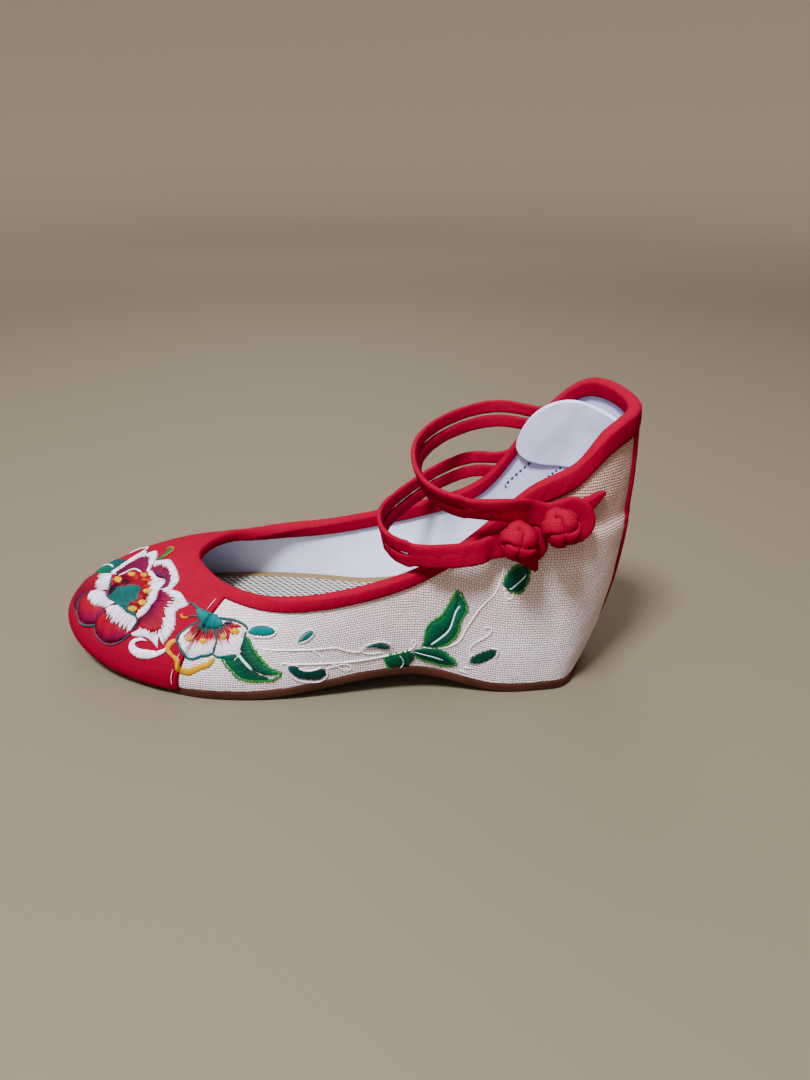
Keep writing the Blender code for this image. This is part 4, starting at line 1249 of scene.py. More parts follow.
# floss colours by name
floss = {
    "white": (0.74, 0.65, 0.8), "snow": (0.76, 0.67, 0.8), "milk": (0.68, 0.55, 0.66),
    "cream": (0.98, 0.93, 0.96), "sky": (0.5, 0.74, 0.8), "rose": (0.78, 0.45, 0.48),
    "teal": (0, 0.08, 0.076), "deepTeal": (0, 0.042, 0.042), "brightTeal": (0, 0.125, 0.13),
    "slate": (0.015, 0.055, 0.065), "navy": (0.01, 0.02, 0.06), "green": (0, 0.092, 0.036),
    "leaf": (0, 0.052, 0.026), "forest": (0, 0.028, 0.018), "lime": (0.02, 0.17, 0.03),
    "yellow": (0.48, 0.235, 0), "gold": (0.44, 0.165, 0), "orange": (0.36, 0.04, 0),
    "red": (0.21, 0, 0.008), "scarlet": (0.25, 0, 0.006), "wine": (0.045, 0, 0.009),
    "maroon": (0.022, 0, 0.007), "plum": (0.05, 0, 0.025), "magenta": (0.12, 0, 0.034),
}
# lengths in mm, liftNoise too; slack, ragged and the other noises are shares
stitching = {
    "spacing": {"plain": 0.36, "white": 0.46, "fringe": 0.3}, "samples": 6, "sides": 6, "leastThreads": 5,
    "halfWide": 0.25, "halfHigh": 0.17, "layerLift": 0.13, "bulge": 0.22, "endDip": 0.12, "satinLie": 0.1,
    "satinTaper": 0.55, "slack": 0.035, "fringeSlack": 0.3, "ragged": 0.15, "raggedBias": -0.05,
    "raggedLimits": (-0.4, 0.3), "streak": 0.5, "liftNoise": 0.02, "taperNoise": 0.06, "blendNoise": 0.1,
    "toneNoise": 0.08, "shadeNoise": 0.05, "lineStep": 0.7, "leastPoints": 6, "lineLie": 0.08,
    "lineWave": 0.03, "lineBeat": 2.1, "widthWave": 0.1, "taperPoints": 1.2, "lineTaper": 0.45,
    "lineHigh": 0.32, "lineHighest": 0.26, "railCuts": 40, "leastRail": 8, "dotTurn": 1.4, "dotRail": 15,
    "sharp": 80,
}

# charts in photograph pixels; satin: layer, floss from the first rail to the second (after a slash: at the
# far end of the rails), the two rails; fringe and lines: layer, floss, width (fringe in pixels, lines in mm),
# path; dots: layer, floss, middle, half sizes
peonySatin = {
    "backLeftPetal": (0, "red red plum/plum wine plum", ((100, 576), (97, 584), (94, 589), (87, 592),
        (81, 599), (79, 608)), ((97, 574), (88, 578), (81, 586), (76, 594), (73.5, 602), (75, 609))),
    "backLeftRim": (1, "white", ((100, 575), (98, 583), (96.5, 589.5)), ((111.5, 574), (111, 582),
        (107.5, 589.5))),
    "lowLeftPetal": (1, "red scarlet plum/scarlet magenta plum", ((88, 597), (92, 602), (98, 605.5),
        (104, 608)), ((79.5, 603), (79, 613), (82, 621), (90, 624), (97, 622), (102, 614))),
    "lowLeftRim": (2, "white", ((88.5, 597.5), (93, 602.5), (100, 605.5), (106, 607.5)), ((93, 591),
        (103, 590.5), (108, 598), (115.5, 602))),
    "frontPetal": (1, "red scarlet plum/red magenta wine", ((104, 612), (108, 617), (115, 623), (122, 628),
        (129, 632.5)), ((95.5, 626), (98, 635), (104, 641), (113, 643), (122, 640), (130, 634.5))),
    "frontRim": (2, "white", ((106, 610), (109, 616.5), (116, 622.5), (123, 627.5), (130, 632)),
        ((112, 605.5), (121, 607), (127, 613), (134, 616), (137, 621))),
    "topPetal": (1, "wine/magenta", ((114.5, 575), (121, 574.5), (129, 571.8), (137, 569.3),
        (142.5, 571), (146.5, 571.5)), ((117, 572.5), (125, 566), (133, 561), (141, 557.5), (148, 556.5),
        (148.5, 563))),
    "topRim": (2, "white", ((114, 575), (122.3, 569.6), (131, 563.3), (140, 557.8), (147, 556)),
        ((112, 571.6), (120.3, 566.2), (129.5, 559.8), (139.5, 553.9), (147, 551.6))),
    "topRimEnd": (2, "white", ((147, 555), (149.5, 560), (149, 566), (147, 571.5)), ((157.5, 551.5),
        (157, 558.5), (153, 565), (149.5, 572))),
    "upperRightPetal": (1, "plum magenta red/plum plum magenta", ((151.5, 570.5), (157, 576.5), (166, 580),
        (163, 586), (160, 589.5)), ((154, 567.5), (161, 565.5), (168, 570), (171.5, 579), (168.5, 586))),
    "upperRightRim": (2, "white", ((155, 566), (161, 565), (167, 567), (170.5, 573), (172, 580),
        (169, 586), (163, 590)), ((157, 561), (163, 560.5), (170, 560), (174.5, 565), (179, 575), (178, 583),
        (171, 590.5))),
    "rightPetal": (1, "plum magenta red/wine red scarlet", ((160, 591.5), (158, 597.5), (152, 605.5),
        (146.5, 612.5), (140, 618.5), (138, 624)), ((166, 591.5), (173, 599), (166.5, 608), (165, 619),
        (160, 630.5), (146, 628.5))),
    "rightRim": (2, "white", ((164, 591.5), (171, 596.5), (175, 601), (168, 606.5), (165.5, 612),
        (165, 620), (163.5, 627.5), (159.5, 632.5)), ((169, 590), (180, 592.5), (186, 600), (187.5, 606),
        (177, 611), (176, 622), (172, 633), (164, 644))),
    "rightHem": (2, "white", ((133, 633), (140, 629.5), (147, 630), (153, 632.5), (159.5, 633.5)),
        ((134, 636), (141, 637), (148, 638), (153.5, 643), (158, 648.5))),
    "innerRim": (2, "white", ((148, 573.5), (151.5, 579), (151.5, 585), (152, 591), (149, 597),
        (147.5, 603), (142, 608), (137.5, 613.5)), ((153, 571.5), (159, 578.5), (166, 581), (159, 591),
        (157.5, 597.5), (152, 605), (146.5, 612.5), (139, 618.5))),
    "hollow": (0, "wine red/red wine", ((117, 577), (113, 585), (112, 595), (122, 606)), ((146, 573),
        (150, 584), (148, 597), (133, 611))),
    "seedHead": (1, "teal deepTeal teal", ((107.5, 596), (113, 592.7), (118.5, 585.5), (125, 582.6),
        (131.5, 581.8), (139, 584.8), (141.5, 588)), ((108, 597.5), (114, 602.2), (120.5, 608), (127, 611.5),
        (132, 607), (138, 603.8), (139, 596.5), (141.5, 589.6))),
    "seedHeadFoot": (1, "teal deepTeal", ((121, 605), (126, 611), (131, 614), (137, 619)), ((127, 605),
        (130, 611), (135, 613.5), (138.5, 616))),
    "hollowShade": (1, "maroon", ((107.5, 592), (111, 587), (115.5, 583)), ((112, 595), (116, 590.5),
        (119, 586.5))),
    "redFleck": (1, "scarlet red", ((136, 594.4), (138, 597.5), (140.3, 600.2)), ((144.8, 596),
        (143.4, 598.4), (140.8, 600.4))),
    "backLeaf": (1, "green teal/deepTeal", ((97.5, 572.4), (104, 574), (112, 573.8), (117, 568.4),
        (125.5, 561.4)), ((96.4, 570.8), (103.8, 565.4), (109.5, 561.2), (117.3, 559.8), (125.8, 559.8))),
    "budStalk": (1, "green", ((157, 561), (163, 558.5), (171, 552.5), (173, 549)), ((156, 560),
        (161, 557), (167, 551), (171, 548))),
    "whiteCurl": (2, "snow", ((165.5, 648), (157, 651), (149, 650), (141, 649), (136, 646.5),
        (135.5, 643), (140, 640.5), (147, 640.5)), ((166, 652), (160, 655.5), (151, 658.5), (141, 658.5),
        (133, 654.5), (129, 648), (132, 640.5), (141, 637.5))),
}
peonyLines = {
    "lowLeftTop": (2, "slate", 0.45, ((107, 590), (100, 589.8), (93, 591), (86, 594), (80, 601), (77.5, 611),
        (79.5, 620))),
    "lowLeftHem": (3, "teal", 0.8, ((79, 620), (83, 624.3), (90, 625.8), (96, 624.6))),
    "petalParting": (2, "slate", 0.45, ((96, 624.5), (101.5, 618), (104, 611), (108, 607.3), (115, 604))),
    "frontHem": (2, "slate", 0.55, ((95, 625), (95.5, 632), (99, 638), (105, 643), (112, 644.5), (120, 642),
        (127, 637), (131.5, 633.5))),
    "backLeftHem": (2, "slate", 0.4, ((74.5, 608), (76, 612), (78.5, 616))),
    "hollowEdge": (2, "teal", 0.9, ((112, 577), (110.5, 584), (109.5, 590), (107.5, 596))),
    "frontRimEnd": (2, "deepTeal", 0.7, ((138, 617), (137.5, 623), (134, 630))),
    "hollowTop": (3, "milk", 0.8, ((119.5, 576), (127, 572.6), (134.9, 569.6), (142, 573))),
    "tendrilTop": (3, "snow", 0.8, ((130.2, 554.4), (138.8, 550.2), (149.2, 548))),
    "tendrilBack": (3, "snow", 1.1, ((149, 548.6), (142.8, 552.8), (135.9, 557.2))),
    "backLeafVein": (3, "sky", 0.9, ((103.8, 566.8), (109.5, 565.3), (114.1, 567.8))),
    "seedHeadLine": (3, "teal", 0.8, ((128, 606.5), (132, 610.8), (136.5, 615))),
    "budHook": (3, "gold", 0.5, ((164, 558), (171.5, 552.7), (174, 549.5), (171.5, 547.6), (167, 549.4))),
    "stalkUpper": (3, "slate", 0.3, ((175, 601), (181, 602), (187, 602.2))),
    "stalkLower": (3, "slate", 0.3, ((178, 605), (183, 604.6))),
}
peonyDots = {
    "seedShade": (2, "maroon", (126.1, 582), (4, 2.6)),
    "upperFleck": (2, "scarlet", (136.5, 577.6), (2.4, 3.4)),
    "sideFleck": (2, "scarlet", (147.5, 586.4), (3.4, 2.7)),
    "lowerFleck": (2, "red", (135.3, 602.8), (4.5, 2.1)),
    "leftAnther": (3, "yellow", (118.9, 579.9), (3.5, 3.2)),
    "topAnther": (3, "yellow", (132.4, 574.6), (3.5, 2.2)),
    "rightAnther": (3, "gold", (144.8, 575.4), (3.1, 2.3)),
    "orangeUpper": (3, "orange", (145.2, 580), (2.1, 1.9)),
    "orangeSide": (3, "orange", (149.8, 580.8), (2, 2.1)),
    "sideAnther": (3, "yellow", (148.1, 591.3), (4, 2.6)),
    "lowAnther": (3, "yellow", (143.1, 602.7), (3.8, 3.2)),
    "frontAnther": (3, "yellow", (133.6, 608.9), (4.2, 3.2)),
}
fanSatin = {
    "leftPetals": (0, "slate wine scarlet scarlet rose white white white/"
        "slate maroon scarlet scarlet rose white white white", ((199, 622.5), (201, 624), (204, 626),
        (207.5, 628), (212, 628.5)), ((179.5, 634.5), (180, 648), (189, 656.8), (202, 654.5), (214, 652))),
    "rightPetals": (0, "slate maroon scarlet scarlet rose white white white/"
        "slate wine red scarlet rose white white white", ((213.5, 628.5), (217, 627.5), (221, 625),
        (226, 623), (231, 621.5)), ((216, 654), (227, 653.5), (238, 651.5), (242, 642), (245.5, 632))),
    "redFleck": (1, "scarlet red", ((224.5, 628.6), (226, 634), (228, 641.6)), ((232, 630.6), (230.8, 635.5),
        (228.6, 642))),
    "calyx": (2, "brightTeal teal", ((197, 609.6), (202, 608.6), (208.4, 612), (217.6, 615), (221, 619.5),
        (223.4, 624)), ((197.6, 613), (199.5, 620.5), (205, 627), (211, 629), (217, 628), (222.6, 625.4))),
    "leafUpper": (1, "forest leaf green", ((244, 637), (241, 648), (241, 655.5), (246, 664), (252, 669.5),
        (262, 674)), ((247, 636), (251, 646.5), (257, 655.5), (264, 664), (271, 669.5), (279, 673.5))),
    "leafLower": (1, "forest leaf green", ((240, 655.5), (243, 661), (247, 666), (252, 670), (260, 674.5),
        (268, 677)), ((223, 657.5), (226, 663.5), (232, 669.5), (238, 676), (248, 679), (266, 679.5))),
    "yellowRibbon": (1, "gold yellow/yellow", ((176.5, 642.5), (172, 646), (170.5, 650), (175, 655.5),
        (179.5, 659), (180.5, 666.5), (187, 668.5), (194, 666.5), (200, 664), (206, 662.5), (210.5, 659.5),
        (212.5, 657)), ((175, 638.5), (169, 641), (165.5, 648), (169, 654.5), (174.5, 661), (175.5, 669),
        (181, 673.5), (189, 675.5), (196, 673), (203, 669.5), (210, 667), (215.5, 659.5))),
}
fanFringe = {
    "leafFringe": (0, "lime", 2.2, ((248.5, 637.5), (252, 646.5), (258, 655.5), (265, 664), (272, 669.5),
        (280.5, 673.5), (275, 678.5), (266, 680.8), (248, 680.3), (237, 677), (231, 670.5), (225, 664.3),
        (221.5, 658))),
}
fanLines = {
    "stalk": (2, "slate", 0.6, ((173, 600.7), (180, 601.2), (186, 601.8), (193.4, 603.9))),
    "stalkEnd": (2, "teal", 1.1, ((193, 603.6), (197.7, 607.8), (200, 611))),
    "stalkTwin": (2, "slate", 0.35, ((176.3, 604.4), (181, 605.6), (185.4, 606.6))),
    "calyxWhisker": (3, "teal", 0.5, ((189, 616.6), (193, 616), (198, 616.5))),
    "sepalOne": (3, "teal", 0.75, ((201, 622), (202.4, 627), (203.4, 632.3))),
    "sepalTwo": (3, "teal", 0.8, ((207, 627), (206.6, 631), (206.3, 634.6))),
    "sepalThree": (3, "teal", 0.8, ((213, 628), (214, 631), (214.9, 634.6))),
    "sepalFour": (3, "teal", 0.8, ((219, 625.5), (221, 628), (222.6, 630.4))),
    "leftShade": (1, "slate", 0.5, ((198, 624), (193, 629), (188.5, 634))),
    "rightShade": (1, "slate", 0.5, ((222, 623), (226, 625.5), (231, 626.5))),
    "redRayOne": (2, "scarlet", 0.8, ((197, 625), (190.5, 631), (184, 637.7))),
    "redRayTwo": (2, "scarlet", 1.2, ((203, 628), (200, 635), (196.7, 642.5))),
    "redRayThree": (2, "scarlet", 1.9, ((211.7, 629), (211.4, 634), (210.6, 639))),
    "redFleckLow": (2, "scarlet", 0.4, ((190.2, 643.6), (188, 646), (186, 648.4))),
    "roseRayOne": (1, "rose", 0.35, ((202, 636), (200, 641), (198.5, 646))),
    "roseRayTwo": (1, "rose", 0.35, ((213, 637), (213, 642), (212, 647))),
    "leftTop": (2, "slate", 1, ((198.8, 621.6), (190.2, 626.4), (181, 633.4), (176.8, 639.8),
        (179, 645.2))),
    "leftHem": (2, "teal", 1.15, ((179, 645), (182.7, 651.6), (187, 657.2), (194.5, 658.4), (200.4, 655.9),
        (206.3, 655.3), (212.7, 652.7))),
    "petalParting": (2, "slate", 1.1, ((216, 631.2), (217, 639.8), (214.9, 647.8), (212.9, 652.6))),
    "rightTop": (2, "slate", 1.1, ((219.2, 617.8), (231, 619.4), (239.5, 621.6), (246.5, 626.4),
        (247.6, 630.2))),
    "rightHem": (2, "teal", 1.1, ((212.7, 653.7), (217.6, 656.6), (222.9, 656.4), (236.3, 654.6))),
    "rightSide": (2, "slate", 0.7, ((246.5, 631), (243.5, 641), (240.5, 650))),
    "leafVein": (3, "sky", 1.4, ((239.5, 655), (243.8, 660.7), (251.8, 669.3))),
    "leafVeinFork": (3, "sky", 0.45, ((239.5, 655.5), (236, 658), (233.5, 661.5))),
    "dropOutline": (2, "snow", 0.8, ((248, 632), (251, 627.6), (257, 625.3), (266, 624.8), (273, 627.2),
        (276.6, 631.4), (273, 635.4), (266, 637.2), (257, 637), (250.5, 634.8))),
    "goldHook": (1, "gold", 0.9, ((181, 614), (183, 617.6), (188, 617.2))),
    "orangeHook": (1, "orange", 0.5, ((182.5, 612), (183.5, 616))),
    "seamThreadTop": (4, "rose", 0.28, ((208, 609.5), (212, 604.5), (216.5, 599.5))),
    "seamThreadLow": (4, "rose", 0.28, ((174, 668.5), (171.8, 676), (172.6, 684))),
    "seamThreadMiddle": (4, "rose", 0.25, ((180.5, 653), (178, 658), (179, 662))),
}
fanDots = {
    "tealDrop": (1, "brightTeal", (262, 631), (13.2, 5.2)),
    "leftAnther": (3, "yellow", (189.7, 638.7), (3.6, 3.3)),
    "middleAnther": (3, "yellow", (203.6, 640.9), (2.9, 3.1)),
    "rightAnther": (3, "yellow", (223.7, 636.6), (2.5, 3.3)),
    "sideAnther": (3, "yellow", (235.8, 631.2), (4, 3.6)),
    "redDot": (2, "scarlet", (236.3, 626.2), (4.5, 2.1)),
    "navyDot": (2, "navy", (227.7, 622.8), (2.6, 1.6)),
}
rightLeafRib = ((413, 651), (423, 653.7), (433, 656.3), (443, 659.5), (454, 663.5))
tallLeafRib = ((425, 645.5), (433, 642.5), (442, 636), (449.5, 628.5), (453, 619), (456, 610), (458, 594))
knotLeafRib = ((505, 586.5), (511, 588.5), (518, 582.5), (523, 578), (527, 570))
vineSatin = {
    "smallBud": (1, "teal brightTeal", ((299.5, 641), (304, 635.5), (309, 632), (313, 631.5)), ((300, 641.5),
        (305, 640), (310, 636.5), (313, 633))),
    "lowLeaf": (1, "deepTeal/forest", ((288.5, 667), (296, 666.2), (300, 668.5),
        (306, 670.2), (314, 670), (324, 668.5)), ((289.3, 669.5), (294, 675.5), (302, 679), (311, 680),
        (320, 679), (326, 674.5))),
    "slimLeaf": (1, "deepTeal forest", ((366.5, 646.5), (373, 644.5), (380, 643.5), (387, 645),
        (389.5, 647)), ((367, 647), (374, 647), (381, 648.8), (386, 648.8), (389, 648))),
    "leftLeaf": (1, "green leaf/forest leaf", ((385, 658.5), (392, 655.5), (400, 654), (409, 651.5),
        (414, 655)), ((388.5, 664.5), (391, 669.5), (399, 670.8), (406, 667.5), (413, 660))),
    "rightLeafTop": (1, "forest leaf green", rightLeafRib, ((415, 649.5), (424, 647.8), (434, 648.2),
        (444, 651.5), (453, 662))),
    "rightLeafHem": (1, "forest forest leaf", rightLeafRib, ((414, 653), (421, 658), (431, 661), (442, 664),
        (453, 664))),
    "tallLeafLeft": (1, "forest leaf green/leaf green green", tallLeafRib, ((423, 644.5), (426, 634),
        (431, 623.5), (442, 617), (447, 609), (453, 601), (457.5, 592.8))),
    "tallLeafRight": (1, "forest leaf green/teal green green", tallLeafRib, ((432, 646.5), (442, 645),
        (452, 639), (457.5, 630), (460, 620), (466, 609.5), (458.5, 593))),
    "heelLeaf": (1, "forest leaf", ((470.6, 661.5), (473, 657), (480, 652.5), (489, 649.4), (495, 650)),
        ((471.4, 662.6), (478, 663.4), (487, 661), (493.5, 656.8), (496, 652))),
    "knotLeafTop": (1, "deepTeal leaf", knotLeafRib, ((504, 583), (507, 576), (513, 570), (520, 566.3),
        (526.5, 564.5))),
    "knotLeafHem": (1, "leaf forest", knotLeafRib, ((508, 588), (515, 591), (522, 590), (526, 582),
        (528.5, 571))),
}
vineFringe = {
    "leftLeafTop": (0, "lime", 2.2, ((383.5, 658.5), (391, 655), (400, 653.2), (408, 651))),
    "leftLeafEnd": (0, "lime", 2.2, ((384, 660), (387.5, 665), (390, 670))),
    "rightLeaf": (0, "lime", 2.2, ((414, 653.5), (421, 658.8), (431, 661.8), (442, 664.8), (455.5, 664.3),
        (451, 658), (445, 651.5))),
    "tallLeaf": (0, "lime", 2.2, ((422.5, 645.5), (425.3, 634), (430.3, 623), (441.3, 616.3), (446.3, 608.5),
        (452.3, 600.5), (454, 596), (458, 591.8), (462.5, 596), (465, 602), (467.3, 609.5), (461, 620),
        (458.6, 630), (453, 639.8), (442.5, 646), (432, 647.4))),
    "knotLeaf": (0, "lime", 2.2, ((503.5, 584), (506.3, 575.5), (512.3, 569), (520, 565.2), (527.6, 563.6),
        (529.6, 571), (527.2, 582.5), (522.6, 591), (515, 592.2), (507.5, 589.2))),
}
vineLines = {
    "smallBudOutline": (2, "sky", 0.55, ((297.5, 643), (299, 637.5), (304, 632.3), (310, 629.5),
        (314.5, 631.5), (312, 636.8), (306, 641), (300, 643))),
    "lowLeafHem": (2, "white", 0.6, ((286.6, 665.5), (291, 675.5), (300, 680.6), (311, 681.8), (321, 680.6),
        (327.6, 674.5), (325.6, 667.4))),
    "lowLeafVein": (2, "white", 0.95, ((299, 668), (306, 670.3), (315, 669.4), (322, 666.5))),
    "lowLeafTop": (2, "white", 0.45, ((287, 665.3), (293, 664.6), (299, 666.5))),
    "slimLeafTop": (2, "white", 0.75, ((359, 649.8), (366, 645.3), (374, 642.3), (383, 641.3), (390, 643.5),
        (392, 647.3))),
    "upperStem": (1, "cream", 0.55, ((256, 647.5), (275, 650), (300, 650), (320, 648.8), (335, 647.5),
        (345, 650), (358, 651.5), (364, 649))),
    "lowerStem": (1, "cream", 0.65, ((281, 663), (300, 664), (330, 663), (360, 660.3), (385, 655.8),
        (402, 652), (412, 648.5), (416, 642))),
    "stemBridge": (1, "cream", 0.47, ((312, 650), (318, 653.5), (322.5, 658.5), (321, 662.5))),
    "curlOne": (1, "cream", 0.47, ((326, 668.5), (335, 666), (344, 664), (350.5, 666), (350, 669.5),
        (345, 669))),
    "curlTwo": (1, "cream", 0.47, ((331, 663.5), (338, 666.5), (344, 671))),
    "curlThree": (1, "cream", 0.47, ((362, 652), (372, 653.5), (382, 652))),
    "leftLeafVein": (3, "sky", 0.45, ((399.5, 655), (403, 659.5), (402.7, 664.5), (400, 667.7))),
    "rightLeafVein": (3, "sky", 0.42, rightLeafRib[:4]),
    "tallLeafVein": (3, "sky", 0.85, ((431, 644), (437, 640), (445, 634), (450, 628), (453, 620), (456, 611),
        (460.5, 604.8))),
    "heelLeafStart": (2, "white", 0.7, ((468.6, 663), (469.6, 657.4), (473, 653.6))),
    "heelLeafEnd": (2, "white", 0.8, ((490, 648), (497, 648.8), (498.4, 652), (495.4, 657.4))),
    "heelTendril": (1, "cream", 0.55, ((470, 656), (469.7, 650), (473, 644.5), (481, 639.5), (488, 635),
        (491.7, 630.5), (489.5, 627), (484, 628))),
    "climbingStem": (1, "cream", 0.68, ((423, 647), (440, 647.8), (452, 645), (460, 640), (465, 631),
        (472, 620), (480, 608.5), (489, 599.5), (495, 593), (499, 585), (502, 576), (503.5, 567))),
    "knotLeafCurl": (1, "cream", 0.55, ((503.5, 588.5), (509, 588.5), (513, 592), (513, 597), (508.5, 599),
        (504.5, 596), (507, 592.8))),
    "strayOne": (1, "cream", 0.55, ((463.5, 667), (471, 668))),
    "strayTwo": (1, "cream", 0.52, ((457.5, 670), (462, 671), (466.5, 673))),
    "stemLoop": (1, "cream", 0.47, ((416, 642), (414, 639.5), (411.5, 642), (413.5, 646))),
    "knotLeafVein": (3, "sky", 0.6, ((511, 589), (517, 583.5), (522, 579), (526.5, 574))),
}


def evenAlong(points, run, count):  # points at even steps of a running length
    even = np.linspace(0, run[-1], count)
    return np.stack([np.interp(even, run, column) for column in points.T], axis=-1)


def railPoints(path):  # spline through the charted pixels, about one point a pixel along its own length
    path = np.asarray(path, float)
    last = len(path) - 1
    fine = splineThrough(path, np.linspace(0, last, stitching["railCuts"] * last + 1), False)[0]
    run = runAlong(fine)
    return evenAlong(fine, run, max(stitching["leastRail"], int(run[-1])))


def surfaceRun(spots):  # running length on the shoe, in millimetres
    return runAlong(skinPoint(spots[:, 0], spots[:, 1]))


def evenSpots(spots, count):
    return evenAlong(spots, surfaceRun(spots), count)


def flossRow(words):
    # "a b c" or "a b c/d e f" to a 2 x n x 3 table: rail start and rail end, first rail to second;
    # a single word stands for both rails
    rows = [[floss[word] for word in part.split()] for part in words.split("/")]
    rows = [row if len(row) > 1 else row * 2 for row in rows]
    return np.array(rows if len(rows) == 2 else rows * 2, float)


def strandMesh(line, normal, halfWide, halfHigh):
    # each thread: an oval profile carried along its run, its ends drawn in and capped
    n, k, s = *line.shape[:2], stitching["sides"]
    along = unitRows(np.gradient(line, axis=1))
    aside = unitRows(np.cross(normal, along))
    turn = ringTurn(s, np.pi / s)
    across, out = halfWide[..., None] * np.cos(turn), halfHigh[..., None] * np.sin(turn)
    points = ovalSections(line, aside, normal, across, out)
    faces = sweepFaces(k, s, False)[2][None] + (np.arange(n) * k * s)[:, None, None]
    faces = faces.reshape(-1, 4)
    u, v = np.broadcast_arrays(runRows(line)[:, :, None], turn / np.pi)
    uv = np.stack([u, v], axis=-1).reshape(-1, 2)
    return points.reshape(-1, 3), faces, uv[faces]


def filledShapes(satin, fringe, dots):
    # every filled shape: layer, floss table, kind of stitch, and its two rails in pixels
    for layer, words, first, second in satin.values():
        kind = "white" if words.startswith("white") else "plain"
        yield layer, flossRow(words), kind, railPoints(first), railPoints(second)
    for layer, word, wide, path in fringe.values():
        line = railPoints(path)
        aside = wide / 2 * unitRows(np.gradient(line, axis=0))[:, ::-1] * (-1, 1)
        yield layer, flossRow(word), "fringe", line - aside, line + aside
    for layer, word, middle, half in dots.values():
        across = np.sin(np.linspace(-stitching["dotTurn"], stitching["dotTurn"], stitching["dotRail"]))
        rise = np.sqrt(1 - across ** 2)
        rails = (np.array(middle) + np.array(half) * np.stack([across, sign * rise], -1) for sign in (-1, 1))
        yield layer, flossRow(word), "plain", *rails


def satinThreads(rng, layer, table, kind, pair):
    # threads from rail to rail, each a low arch; colour runs along the floss table with a little noise
    look = stitching
    t = np.linspace(0, 1, look["samples"])
    atEnd = (t == 0) | (t == 1)
    count = max(look["leastThreads"], int(max(surfaceRun(rail)[-1] for rail in pair) / look["spacing"][kind]))
    first, second = (evenSpots(rail, count)[:, None] for rail in pair)
    slack = rng.normal(0, look["slack"], (2, count))
    if kind == "fringe":
        slack = rng.normal(0, look["fringeSlack"], (2, count))
    if kind == "white":
        slack[0] = np.clip(rng.normal(look["raggedBias"], look["ragged"], count), *look["raggedLimits"])
    share = (slack[0][:, None] * (1 - t) + t * (1 + slack[1][:, None]))[..., None]
    spot = first * (1 - share) + second * share
    arch = look["bulge"] * np.sqrt(np.clip(4 * t * (1 - t), 0, 1)) - look["endDip"] * atEnd
    lift = look["satinLie"] + look["layerLift"] * layer + arch + rng.normal(0, look["liftNoise"], (count, 1))
    line = skinPoint(spot[..., 0], spot[..., 1], lift)
    normal = ribNormal(spot[..., 0], spot[..., 1])
    taper = np.where(atEnd, look["satinTaper"], 1.0) * (1 + rng.normal(0, look["taperNoise"], (count, 1)))
    mesh = strandMesh(line, normal, look["halfWide"] * taper, look["halfHigh"] * taper)
    last = table.shape[1] - 1
    where = np.clip(t + rng.normal(0, look["blendNoise"], (count, 1)), 0, 1) * last
    low = np.clip(np.floor(where).astype(int), 0, last - 1)
    f = easeStep(where - low, 0, 1)[..., None]
    near, far = (row[low] * (1 - f) + row[low + 1] * f for row in table)
    tone = 1 + rng.normal(0, look["toneNoise"], (count, 1, 1))
    if kind == "white":
        tone = 1 - look["streak"] * rng.random((count, 1, 1)) ** 3
    along = np.linspace(0, 1, count)[:, None, None]
    colour = np.clip((near * (1 - along) + far * along) * tone, 0, 1)
    return *mesh, np.repeat(colour.reshape(-1, 3), look["sides"], axis=0)


def lineThread(rng, layer, word, wide, rail):  # one thread along its rail, a little uneven, with thin ends
    look = stitching
    count = max(look["leastPoints"], int(surfaceRun(rail)[-1] / look["lineStep"]))
    place, climb = evenSpots(rail, count).T
    share = np.linspace(0, 1, count)
    beat = share * count * look["lineBeat"]
    lift = look["lineLie"] + look["layerLift"] * layer + look["lineWave"] * np.sin(beat)
    line, normal = skinPoint(place, climb, lift), ribNormal(place, climb)
    taper = np.clip(np.minimum(share, 1 - share) * count / look["taperPoints"], look["lineTaper"], 1)
    taper = (taper * (1 + look["widthWave"] * np.sin(beat + 1)))[None]
    high = min(look["lineHigh"] * wide, look["lineHighest"])
    mesh = strandMesh(line[None], normal[None], wide / 2 * taper, high * taper)
    shade = np.repeat(1 + rng.normal(0, look["shadeNoise"], count), look["sides"])[:, None]
    return *mesh, np.clip(np.array(floss[word]) * shade, 0, 1)


def addEmbroidery(name, seed, satin, fringe, lines, dots):
    # all rails and lines of a motif are found on the shoe together, then stitched in the charts' order
    rng = np.random.default_rng(seed)
    shapes, lines = list(filledShapes(satin, fringe, dots)), list(lines.values())
    rails = [rail for shape in shapes for rail in shape[3:]] + [railPoints(row[-1]) for row in lines]
    ends = np.cumsum([len(rail) for rail in rails])[:-1]
    spots = np.split(np.stack(pickOnWall(np.concatenate(rails)), axis=-1), ends)
    threads = [satinThreads(rng, *shape[:3], spots[2 * k:2 * k + 2]) for k, shape in enumerate(shapes)]
    threads += [lineThread(rng, *row[:3], rail) for row, rail in zip(lines, spots[2 * len(shapes):])]
    points, faces, uv, colours = joinParts(threads)
    addMesh(name, points, faces, uv, silkThread, (), colours, stitching["sharp"])


addEmbroidery("peonyEmbroidery", 71, peonySatin, {}, peonyLines, peonyDots)
addEmbroidery("fanEmbroidery", 72, fanSatin, fanFringe, fanLines, fanDots)
addEmbroidery("vineEmbroidery", 73, vineSatin, vineFringe, vineLines, {})
print("embroidery made")

# in metres; the wall is paler than the floor, so that the far side isn't lost in the dark
paleFloor = {"hub": 0.02, "radius": 3, "rise": 1.2, "wallTop": 2, "spokes": 96, "flatRows": 12,
             "curlRows": 14, "curlFrom": 0.1, "roughness": 0.7, "specular": 0.5, "floor": (0.12, 0.091, 0.06),
             "wall": (0.46, 0.365, 0.27), "fade": (0.9, 2.6)}


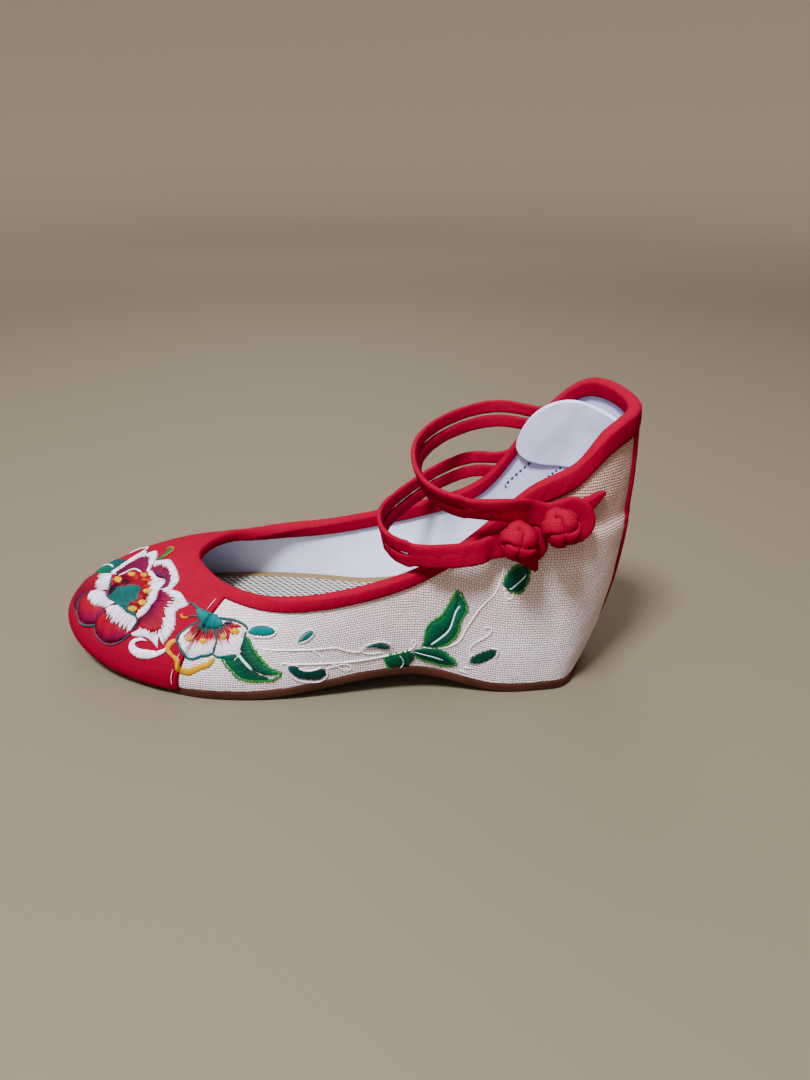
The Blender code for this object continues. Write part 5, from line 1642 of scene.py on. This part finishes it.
def makeFloorPaint(look):  # floor colour near the shoe, wall colour far from it
    material, tree, shader = startMaterial("paleFloor", look["roughness"], look["specular"])
    away = vectorOf(tree, "LENGTH", objectPlace(tree))
    fade = spread(tree, away, *look["fade"], kind="SMOOTHSTEP")
    feed(tree, mixColour(tree, fade, look["floor"], look["wall"]), shader.inputs["Base Color"])
    return material


def addStage(look):
    # pale floor: a disc that curls up into a wall all round, turned about the upright axis
    radius, rise = look["radius"], look["rise"]
    turn = ringTurn(look["spokes"])[:, None]
    flat = np.linspace(look["hub"], radius - rise, look["flatRows"])
    curl = np.linspace(look["curlFrom"], np.pi / 2, look["curlRows"])
    profile = np.concatenate([flat, radius - rise + rise * np.sin(curl), [radius]])
    height = np.concatenate([0 * flat, rise - rise * np.cos(curl), [look["wallTop"]]])
    points = np.stack([np.cos(turn) * profile, np.sin(turn) * profile, 0 * turn + height], -1)
    n, m = points.shape[:2]
    i, j = np.meshgrid(np.arange(n), np.arange(m - 1), indexing="ij")
    here, there = i * m + j, (i + 1) % n * m + j
    faces = np.stack([here, here + 1, there + 1, there], -1).reshape(-1, 4).tolist()
    mesh = bpy.data.meshes.new("paleFloor")
    mesh.from_pydata(points.reshape(-1, 3).tolist(), [], faces + [list(range(0, n * m, m))])
    mesh.shade_smooth()
    mesh.materials.append(makeFloorPaint(look))
    floor = newObject("paleFloor", mesh)


# place in metres, size, power, colour
studioLights = {
    "ceilingLight": ((0.3, 0.72, 1.45), 0.36, 74, (0.88, 0.94, 1)),
    "ceilingWash": ((0.1, 0.3, 1.7), 2.4, 26, (1, 0.95, 0.88)),
    "frontFill": ((0.3, 1.3, 0.7), 1, 4, (1, 0.92, 0.84)),
    "innerFill": ((0.2, -1.2, 1), 1, 8, (1, 0.95, 0.9)),
}
softStudio = {"aim": np.array([0, 0, 0.05]), "colour": (1, 0.8, 0.62, 1), "strength": 0.2}


def addLight(name, place, size, power, colour):  # a round area light that looks at the shoe
    data = bpy.data.lights.new(name, "AREA")
    data.shape = "DISK"
    data.size = size
    data.energy = power
    data.color = colour
    light = newObject(name, data)
    back = unitRows(np.array(place) - softStudio["aim"])
    right = unitRows(np.cross(upward + np.array([0.0, 1e-3, 0.0]), back))
    turnTo(light, right, np.cross(back, right), back, place)


def addWorld():
    world = bpy.data.worlds.new("softStudio")
    world.use_nodes = True
    sky = world.node_tree.nodes["Background"].inputs
    sky["Color"].default_value = softStudio["colour"]
    sky["Strength"].default_value = softStudio["strength"]
    bpy.context.scene.world = world


addStage(paleFloor)
for lightName, lightLook in studioLights.items():
    addLight(lightName, *lightLook)
addWorld()
print("stage and lights set")
